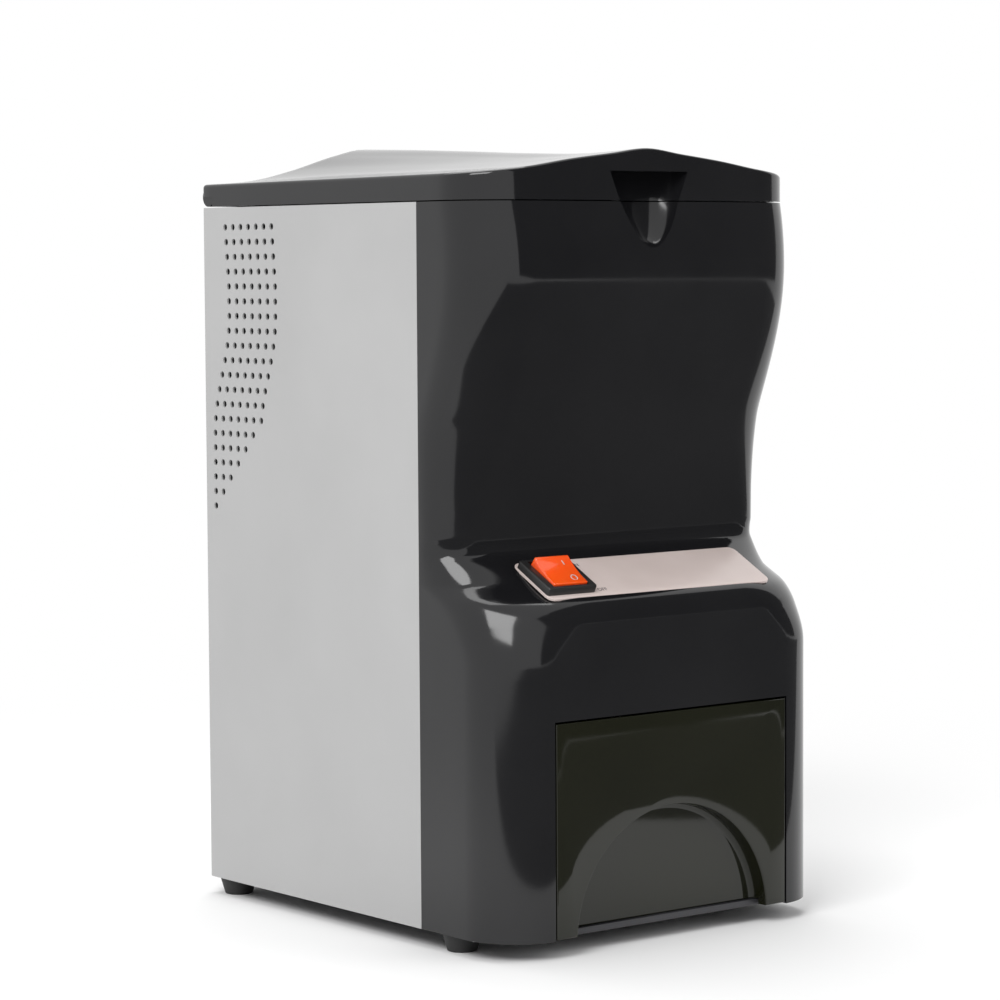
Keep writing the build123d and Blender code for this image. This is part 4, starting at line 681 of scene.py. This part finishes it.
# %% [markdown]
# ## Lid
# The lid is a soft hump over a level band. It is drawn as rings: the plan outline is
# extruded up the wall, over a rounded edge, and then shrunk step by step to the middle,
# with every vertex lifted to the bell-shaped height. Reading the height from a formula
# keeps the gloss free of dents. A smaller block of the same kind hollows it.

# %% The hump's height
LID_BOTTOM = size_of("lid")[0].z
LID_FRONT = front_y(CASING_TOP)
CREST = [(LID_FRONT - 3 + 48 * i, z) for i, z in enumerate((387.4, 386.0, 387.4, 389.7, 391.8, 393.5))]
BELL_FRONT = [
    (-105, 0.0), (-74, 0.25), (-48, 0.56), (-22, 0.80), (0, 1.0),
    (22, 0.80), (48, 0.56), (74, 0.25), (105, 0.0),
]
BELL_REAR = [
    (-105, 0.0), (-74, 0.12), (-48, 0.41), (-22, 0.79), (0, 1.0),
    (22, 0.79), (48, 0.41), (74, 0.12), (105, 0.0),
]


def lid_z(x, y):
    """Height of the lid's top."""
    share = (y - LID_FRONT + 3) / 240.0
    band = 374.6 + (373.3 - 374.6) * share
    bell = (1 - share) * through(BELL_FRONT, x) + share * through(BELL_REAR, x)
    return band + (through(CREST, y) - band) * max(bell, 0.0)


# %% Rings of the lid
CORNER, REAR_CORNER, EDGE_ROUND = 32.0, 3.0, 1.8


def lid_outline(inset):
    """Closed plan outline of the lid, drawn in by an inset, with the same stations each time."""
    half, front, rear = HALF - inset, LID_FRONT + inset, BACK_Y - inset
    reach, rear_r = CORNER - inset, max(REAR_CORNER - inset, 0.2)
    left = [(-(half - reach) * (1 - i / 22), front) for i in range(22, -1, -1)]
    left += [
        (
            -half + reach * (1 - math.sin(math.pi / 2 * i / 18)),
            front + reach * (1 - math.cos(math.pi / 2 * i / 18)),
        )
        for i in range(1, 19)
    ]
    side = rear - rear_r - front - reach
    left += [(-half, front + reach + side * i / 34) for i in range(1, 35)]
    left += [
        (
            -half + rear_r * (1 - math.cos(math.pi / 2 * i / 5)),
            rear - rear_r * (1 - math.sin(math.pi / 2 * i / 5)),
        )
        for i in range(1, 6)
    ]
    left += [(-(half - rear_r) * (1 - i / 22), rear) for i in range(1, 23)]
    return left + [(-x, y) for x, y in reversed(left[1:-1])]


def hump_block(inset, drop, rounding, bottom):
    """Closed block under the hump: a wall, a rounded edge, and rings that shrink to the middle."""
    bm = bmesh.new()
    station = bm.verts.layers.int.new("station")
    centre_y = (LID_FRONT + BACK_Y) / 2
    wall = lid_outline(inset)
    rings = []
    for i in range(5 if rounding else 1):
        turn = math.pi / 2 * i / 4
        sink = rounding * (1 - math.sin(turn))
        outline = lid_outline(inset + rounding * (1 - math.cos(turn)))
        rings.append([(x, y, lid_z(x, y) - drop - sink) for x, y in outline])
    for i in range(1, 30):
        share = 1 - i / 29.5
        ring = [(x * share, centre_y + (y - centre_y) * share) for x, y in outline]
        rings.append([(x, y, lid_z(x, y) - drop) for x, y in ring])
    verts = []
    for i, (x, y) in enumerate(wall):
        vert = bm.verts.new((x, y, bottom))
        vert[station] = i
        verts.append(vert)
    edges = [bm.edges.new(pair) for pair in zip(verts, verts[1:] + verts[:1])]
    bm.faces.new(reversed(verts))
    for ring in rings:
        result = bmesh.ops.extrude_edge_only(bm, edges=edges)
        fresh = verts_of(result)
        for vert in fresh:
            vert.co = ring[vert[station]]
        fresh = set(fresh)
        edges = [e for e in edges_of(result) if e.verts[0] in fresh and e.verts[1] in fresh]
    bmesh.ops.holes_fill(bm, edges=edges)
    bmesh.ops.recalc_face_normals(bm, faces=bm.faces)
    return bm


lid = hump_block(0.0, 0.0, EDGE_ROUND, LID_BOTTOM)
lid = carve(lid, hump_block(WALL, WALL, 0.0, LID_BOTTOM - 5))
print("lid shell:", len(lid.faces), "faces, volume", round(lid.calc_volume() / 1000), "cm3")

# %% Scoop, rounded rear edge and hinge gaps of the lid
backing = scoop_bowl(WALL, 380.0)
backing = cut_away(backing, (0, LID_FRONT + WALL / 2, 0), (0, -1, 0))
backing = cut_away(backing, (0, 0, LID_BOTTOM), (0, 0, -1))
bmesh.ops.recalc_face_normals(backing, faces=backing.faces)
lid = carve(lid, backing, "UNION")
lid = carve(lid, scoop_bowl(0.0, 376.0))
hinge_low, hinge_high = size_of("hinge_pins")
HINGE_Y, HINGE_Z = (hinge_low.y + hinge_high.y) / 2, (hinge_low.z + hinge_high.z) / 2
HINGE_R = BACK_Y - HINGE_Y


def rod(radius, centre_x, length, segments=40):
    """Rod about the hinge axis."""
    bm = bmesh.new()
    bmesh.ops.create_cone(
        bm, cap_ends=True, segments=segments, radius1=radius, radius2=radius, depth=length,
        matrix=Matrix.Translation((centre_x, HINGE_Y, HINGE_Z)) @ Matrix.Rotation(math.pi / 2, 4, "Y"),
    )
    return bm


lid = carve(lid, block((2 * HALF + 2, 20.0, 10.0), (0, HINGE_Y + 5, HINGE_Z - 5)))
lid = carve(lid, rod(HINGE_R, 0, 2 * HALF - 2, 64), "UNION")
for x in (-66.0, 66.0):
    lid = carve(lid, rod(HINGE_R + 0.8, x, 12.8, 48))
    lid = carve(lid, block((12.8, 10.0, 2 * HINGE_R + 1.6), (x, HINGE_Y + 5, HINGE_Z)))
    lid = carve(lid, rod(2.0, x, 26.0, 32))
finish_piece("lid_skin", lid, "lid", gloss_black, ["lid"])

# %% [markdown]
# ## Bin
# The drawer is a thin-walled box with a round-topped recess in its front for the fingers.
# A block with rounded rear corners is hollowed by a smaller block of the same kind, which
# stays clear of a drum one wall thicker than the recess. A drum with a rounded inner rim is
# then cut out of the front, so the recess keeps its wall.

# %% Drawer body
BIN_WALL = 2.5
ARCH_R, ARCH_Z, ARCH_DEPTH = 61.5, 6.0, 10.0
bin_size = bin_high - bin_low
bin_floor = 12.4


def drum(radius, depth, rim):
    """Drum on the bin's front, with its inner rim rounded."""
    bm = bmesh.new()
    bmesh.ops.create_cone(
        bm, cap_ends=True, segments=128, radius1=radius, radius2=radius, depth=depth + 2,
        matrix=Matrix.Translation((0, FRONT_Y + depth / 2 - 1, ARCH_Z))
        @ Matrix.Rotation(math.pi / 2, 4, "X"),
    )
    if rim:
        back = [e for e in bm.edges if all(abs(v.co.y - FRONT_Y - depth) < 0.01 for v in e.verts)]
        bmesh.ops.bevel(
            bm, geom=back, offset=rim, offset_type="OFFSET", segments=6, profile=0.5, affect="EDGES",
            material=-1
        )
    return bm


def drawer(low, high, corner):
    """Box between two corners with its two rear upright edges rounded."""
    bm = bmesh.new()
    bmesh.ops.create_cube(bm, size=1.0)
    bmesh.ops.scale(bm, vec=high - low, verts=bm.verts)
    bmesh.ops.translate(bm, vec=(low + high) / 2, verts=bm.verts)
    rear = [
        e for e in bm.edges
        if all(abs(v.co.y - high.y) < 1e-6 for v in e.verts)
        and abs(e.verts[0].co.z - e.verts[1].co.z) > 1e-6
    ]
    bmesh.ops.bevel(
        bm, geom=rear, offset=corner, offset_type="OFFSET", segments=8, profile=0.5, affect="EDGES",
        material=-1
    )
    return bm


ice_drawer = drawer(Vector((bin_low.x, bin_low.y, bin_floor)), bin_high, 8.0)
skirt = block((bin_size.x, 6.0, bin_floor - bin_low.z + 2), (0, FRONT_Y + 3, (bin_floor + 2 + bin_low.z) / 2))
ice_drawer = carve(ice_drawer, skirt, "UNION")
hollow = drawer(
    Vector((bin_low.x + BIN_WALL, bin_low.y + BIN_WALL, bin_floor + BIN_WALL)),
    Vector((bin_high.x - BIN_WALL, bin_high.y - BIN_WALL, bin_high.z + 10)), 5.5,
)
hollow = carve(hollow, drum(ARCH_R + BIN_WALL, ARCH_DEPTH + BIN_WALL, 0.0))
ice_drawer = carve(ice_drawer, hollow)
ice_drawer = carve(ice_drawer, drum(ARCH_R, ARCH_DEPTH, 3.5))
outer_edges = [
    e for e in ice_drawer.edges
    if e.is_manifold and e.calc_face_angle() > 1.2 and all(v.co.y < FRONT_Y + 0.01 for v in e.verts)
]
bmesh.ops.bevel(
    ice_drawer, geom=outer_edges, offset=0.7, offset_type="OFFSET", segments=3, profile=0.5, affect="EDGES",
    material=-1
)
finish_piece("ice_drawer", ice_drawer, "bin", smoke, ["ice_bin"])

# %% [markdown]
# ## Label plate
# A thin printed plate in the console's pocket, left bare apart from the switch's own words.
# Its rim is rounded very slightly, so that the edge catches a line of light.

# %% Label
plate = block((*LABEL_SIZE, LABEL_THICK), (0, 0, LABEL_THICK / 2 - LABEL_POCKET), 4.0, 8, 0.25)
plate = carve(plate, block((BLOCK_SIZE[0] + 0.4, BLOCK_SIZE[1] + 0.4, 8.0), (SWITCH_X, 0, 0)))
label = finish_piece("label", laid(plate, console), "root", label_print, ["label_plate"])

# %% [markdown]
# ## Rocker switch
# The frame is a raised rim with a window: the rim is a block with its top edges beveled,
# and the window is cut down into the block below it. The cap is drawn in side profile with
# a dished top and a round belly, extruded across, and its edges are rounded.

# %% Switch frame
switch = console @ Matrix.Translation((SWITCH_X, 0, LABEL_THICK - LABEL_POCKET))
FRAME_SIZE = (30.0, 27.0, 3.8)
WINDOW = (21.6, 22.8)
rim_block = block(FRAME_SIZE, (0, 0, FRAME_SIZE[2] / 2), 1.5, 5, 0.8)
body_block = block((*BLOCK_SIZE, 26.0), (0, 0, -11.0))
rim_block = carve(rim_block, body_block, "UNION")
window = block((*WINDOW, 16.0), (0, 0, -1.5), 0.6, 3)
rim_block = carve(rim_block, window)
finish_piece("switch_frame", laid(rim_block, switch), "root", black_plastic, ["switch_body"])

# %% Rocker cap
CAP_HALF, CAP_TOP, CAP_DISH, CAP_WIDTH = 9.8, 6.7, 1.0, 21.0
TILT = math.radians(11.0)
cap = bmesh.new()
side = [(-CAP_HALF, 0.0)]
side += [
    (u, CAP_TOP - CAP_DISH * (1 - (u / CAP_HALF) ** 2)) for u in [CAP_HALF * (i / 8 - 1) for i in range(17)]
]
side += [(CAP_HALF * math.cos(a), -8.5 * math.sin(a)) for a in [math.pi * i / 14 for i in range(14)]]
profile = [cap.verts.new((-CAP_WIDTH / 2, u, v)) for u, v in side]
cap.faces.new(profile)
result = bmesh.ops.extrude_face_region(cap, geom=cap.faces[:])
bmesh.ops.translate(cap, vec=(CAP_WIDTH, 0, 0), verts=verts_of(result))
bmesh.ops.recalc_face_normals(cap, faces=cap.faces)
crisp = [e for e in cap.edges if e.calc_face_angle() > 0.9]
bmesh.ops.bevel(
    cap, geom=crisp, offset=0.7, offset_type="OFFSET", segments=3, profile=0.5, affect="EDGES", material=-1
)
cap_place = switch @ Matrix.Rotation(TILT, 4, "X")
finish_piece("rocker_cap", laid(cap, cap_place), "rocker", orange, ["switch_rocker"])

# %% [markdown]
# ## Generic switch marks
# A rocker of this kind carries the two standard marks, a line for on and a ring for off,
# and the words ON and OFF beside it. A text curve is turned into a mesh first and only
# then laid on its plane, so the finished piece has no turn or scale of its own.

# %% Marks
def word(text, name, height, matrix, body, material):
    """Flat word in a plain typeface, laid on a plane."""
    curve = bpy.data.curves.new(name, "FONT")
    curve.body, curve.size, curve.extrude = text, height, 0.02
    curve.align_x, curve.align_y = "CENTER", "CENTER"
    holder = bpy.data.objects.new(name, curve)
    bpy.context.scene.collection.objects.link(holder)
    bm = evaluated(holder)
    bpy.data.objects.remove(holder)
    bpy.data.curves.remove(curve)
    return finish_piece(name, laid(bm, matrix), body, material)


label_top = LABEL_THICK - LABEL_POCKET
word(
    "ON", "word_on", 3.4, console @ Matrix.Translation((SWITCH_X + 19.5, 11.0, label_top + 0.02)),
    "root", ink,
)
word(
    "OFF", "word_off", 3.4, console @ Matrix.Translation((SWITCH_X + 20.5, -11.6, label_top + 0.02)),
    "root", ink,
)
ring = bmesh.new()
bmesh.ops.create_circle(ring, segments=40, radius=1.5)
result = bmesh.ops.extrude_edge_only(ring, edges=ring.edges[:])
bmesh.ops.scale(ring, vec=(1.28, 1.28, 1.0), verts=verts_of(result))
ring = thicken(ring, 0.15)
ring_place = cap_place @ Matrix.Translation(
    (4.5, -5.6, CAP_TOP - CAP_DISH * (1 - (5.6 / CAP_HALF) ** 2) + 0.07)
)
finish_piece("mark_off", laid(ring, ring_place), "rocker", cap_mark)
bar = block((0.5, 3.4, 0.2), (0, 0, 0))
bar_place = cap_place @ Matrix.Translation(
    (4.5, 5.4, CAP_TOP - CAP_DISH * (1 - (5.4 / CAP_HALF) ** 2) + 0.06)
)
finish_piece("mark_on", laid(bar, bar_place), "rocker", cap_mark)

# %% [markdown]
# ## Feet
# Each rubber foot is a tapered plug with a shallow dish below. Its half profile is a
# handful of vertices spun once round, at each of the four places, into one mesh.

# %% Spin the feet
feet_low, feet_high = size_of("feet")
FOOT_R = 9.7
foot_profile = [
    (0.0, 0.6), (4.6, 0.6), (5.2, 0.0), (6.6, 0.0), (7.3, 0.4), (7.6, 1.4),
    (FOOT_R, 8.6), (FOOT_R - 0.3, 9.0), (0.0, 9.0),
]
feet = bmesh.new()
for x in (feet_low.x + FOOT_R, feet_high.x - FOOT_R):
    for y in (feet_low.y + FOOT_R, feet_high.y - FOOT_R):
        verts = [feet.verts.new((x + r, y, z)) for r, z in foot_profile]
        edges = [feet.edges.new(pair) for pair in zip(verts, verts[1:])]
        bmesh.ops.spin(
            feet, geom=verts + edges, cent=(x, y, 0), axis=(0, 0, 1), angle=2 * math.pi,
            steps=48, use_merge=True,
        )
bmesh.ops.remove_doubles(feet, verts=feet.verts, dist=0.0005)
bmesh.ops.recalc_face_normals(feet, faces=feet.faces)
finish_piece("rubber_feet", feet, "root", foot_rubber, ["feet"])

# %% [markdown]
# ## Finishes of the machinery
# The CAD nodes inside keep their shape. Each one takes the finish of its own material slot.

# %% Dress the CAD nodes
FINISH_OF_SLOT = {
    "gloss_black": gloss_black, "sheet_grey": sheet_grey, "steel": zinc_steel,
    "screws": zinc_steel, "cast": cast_metal, "blade_steel": ground_steel,
    "bronze": bearing_bronze, "white_plastic": white_plastic, "grey_plastic": grey_plastic,
    "black_plastic": black_plastic, "rubber": foot_rubber, "smoke": smoke,
    "label": label_print, "orange": orange, "gear_steel": gear_steel,
    "motor_paint": motor_enamel, "magnet": magnet_nickel,
}
for entry in frame["record"]["subparts"]:
    node = frame["nodes"][entry["node"]]
    node.data.materials.clear()
    node.data.materials.append(FINISH_OF_SLOT[entry["material_slot"]])
print("dressed", len(frame["nodes"]), "nodes")

# %% [markdown]
# ## Floor, light and camera
# A pale floor fades into the white of the world, so there is no horizon. The lamps are
# large and soft. Glossy black shows its surroundings more than its own colour, so dark
# cards stand round the object, seen only in reflections, as in a product studio.

# %% Floor and world
floor_mesh = bmesh.new()
bmesh.ops.create_grid(floor_mesh, x_segments=8, y_segments=8, size=6.0)
floor_data = bpy.data.meshes.new("floor")
floor_mesh.to_mesh(floor_data)
floor_mesh.free()
floor = bpy.data.objects.new("floor", floor_data)
bpy.context.scene.collection.objects.link(floor)
floor_material = bpy.data.materials.new("floor_pale")
floor_material.use_nodes = True
tree = floor_material.node_tree
matt = tree.nodes["Principled BSDF"]
matt.inputs["Base Color"].default_value = (0.93, 0.93, 0.93, 1)
matt.inputs["Roughness"].default_value = 0.9
matt.inputs["Specular IOR Level"].default_value = 0.1
bright = tree.nodes.new("ShaderNodeEmission")
bright.inputs["Color"].default_value = (1, 1, 1, 1)
where = tree.nodes.new("ShaderNodeTexCoord")
length = tree.nodes.new("ShaderNodeVectorMath")
length.operation = "LENGTH"
tree.links.new(where.outputs["Object"], length.inputs[0])
fade = tree.nodes.new("ShaderNodeMapRange")
fade.interpolation_type = "SMOOTHSTEP"
fade.inputs["From Min"].default_value = 0.25
fade.inputs["From Max"].default_value = 0.9
tree.links.new(length.outputs["Value"], fade.inputs["Value"])
blend_floor = tree.nodes.new("ShaderNodeMixShader")
tree.links.new(fade.outputs["Result"], blend_floor.inputs["Fac"])
tree.links.new(matt.outputs["BSDF"], blend_floor.inputs[1])
tree.links.new(bright.outputs["Emission"], blend_floor.inputs[2])
tree.links.new(blend_floor.outputs["Shader"], tree.nodes["Material Output"].inputs["Surface"])
floor_data.materials.append(floor_material)

world = bpy.data.worlds.new("studio")
bpy.context.scene.world = world
world.use_nodes = True
tree = world.node_tree
background = tree.nodes["Background"]
background.inputs["Color"].default_value = (1, 1, 1, 1)
rays = tree.nodes.new("ShaderNodeLightPath")
seen = tree.nodes.new("ShaderNodeMath")
seen.operation = "MAXIMUM"
tree.links.new(rays.outputs["Is Camera Ray"], seen.inputs[0])
tree.links.new(rays.outputs["Is Glossy Ray"], seen.inputs[1])
seen_too = tree.nodes.new("ShaderNodeMath")
seen_too.operation = "MAXIMUM"
tree.links.new(seen.outputs[0], seen_too.inputs[0])
tree.links.new(rays.outputs["Is Transmission Ray"], seen_too.inputs[1])
level = tree.nodes.new("ShaderNodeMapRange")
level.inputs["To Min"].default_value = 0.45
level.inputs["To Max"].default_value = 1.0
tree.links.new(seen_too.outputs[0], level.inputs["Value"])
tree.links.new(level.outputs["Result"], background.inputs["Strength"])


# %% Lamps and cards
def aim(obj, place, target):
    """Puts an object somewhere with its -Z towards a point."""
    obj.location = place
    obj.rotation_euler = (Vector(target) - Vector(place)).to_track_quat("-Z", "Y").to_euler()


def soft_lamp(name, place, target, size, power, shines=True):
    """Square soft lamp, which glossy surfaces may show or not."""
    data = bpy.data.lights.new(name, "AREA")
    data.shape, data.size, data.size_y, data.energy = "RECTANGLE", size[0], size[1], power
    lamp = bpy.data.objects.new(name, data)
    bpy.context.scene.collection.objects.link(lamp)
    aim(lamp, place, target)
    lamp.visible_glossy = shines
    return lamp


def card(name, place, target, size, brightness):
    """Flat card that only glossy surfaces show."""
    bm = bmesh.new()
    bmesh.ops.create_grid(bm, x_segments=1, y_segments=1, size=0.5)
    bmesh.ops.scale(bm, vec=(size[0], size[1], 1), verts=bm.verts)
    turn = (Vector(target) - Vector(place)).to_track_quat("-Z", "Y").to_matrix().to_4x4()
    bmesh.ops.transform(bm, matrix=Matrix.Translation(place) @ turn, verts=bm.verts)
    data = bpy.data.meshes.new(name)
    bm.to_mesh(data)
    bm.free()
    material = bpy.data.materials.new(name)
    material.use_nodes = True
    glow = material.node_tree.nodes.new("ShaderNodeEmission")
    glow.inputs["Color"].default_value = (1, 1, 1, 1)
    glow.inputs["Strength"].default_value = brightness
    material.node_tree.links.new(
        glow.outputs["Emission"], material.node_tree.nodes["Material Output"].inputs["Surface"]
    )
    data.materials.append(material)
    sheet_card = bpy.data.objects.new(name, data)
    bpy.context.scene.collection.objects.link(sheet_card)
    sheet_card.visible_camera = sheet_card.visible_diffuse = sheet_card.visible_shadow = False
    sheet_card.visible_transmission = sheet_card.visible_volume_scatter = False
    return sheet_card


MIDDLE = (0.0, 0.0, 0.2)
soft_lamp("key_lamp", (-1.6, -0.9, 1.7), MIDDLE, (1.2, 1.2), 32)
soft_lamp("fill_lamp", (1.3, -1.6, 1.1), MIDDLE, (1.4, 1.4), 14, shines=False)
soft_lamp("top_lamp", (0.1, 0.5, 1.9), MIDDLE, (1.4, 1.4), 18)
card("room_dark", (1.7, -2.1, 1.2), MIDDLE, (4.6, 4.6), 0.12)
card("front_dark", (0.6, -1.2, 0.012), (0.6, -1.2, 1.0), (2.6, 1.9), 0.2)
print("lamps and cards set")

# %% Camera at the photograph's viewing angle
LENS, SENSOR = 119.86, 36.0
CAMERA_PLACE = (-1.06724, -1.34125, 0.33278)
YAW, PITCH, ROLL = 38.358, 4.104, -0.3285
yaw, pitch, roll = math.radians(YAW), math.radians(PITCH), math.radians(ROLL)
forward = Vector((math.sin(yaw) * math.cos(pitch), math.cos(yaw) * math.cos(pitch), -math.sin(pitch)))
right = Vector((math.cos(yaw), -math.sin(yaw), 0))
up = right.cross(forward)
across = right * math.cos(roll) + up * math.sin(roll)
upward = -right * math.sin(roll) + up * math.cos(roll)
camera_data = bpy.data.cameras.new("camera")
camera_data.lens, camera_data.sensor_width = LENS, SENSOR
camera = bpy.data.objects.new("camera", camera_data)
bpy.context.scene.collection.objects.link(camera)
turned = Matrix((across, upward, -forward)).transposed().to_4x4()
camera.matrix_world = Matrix.Translation(CAMERA_PLACE) @ turned
bpy.context.scene.camera = camera
bpy.context.scene.view_settings.view_transform = "Standard"
print("camera set")
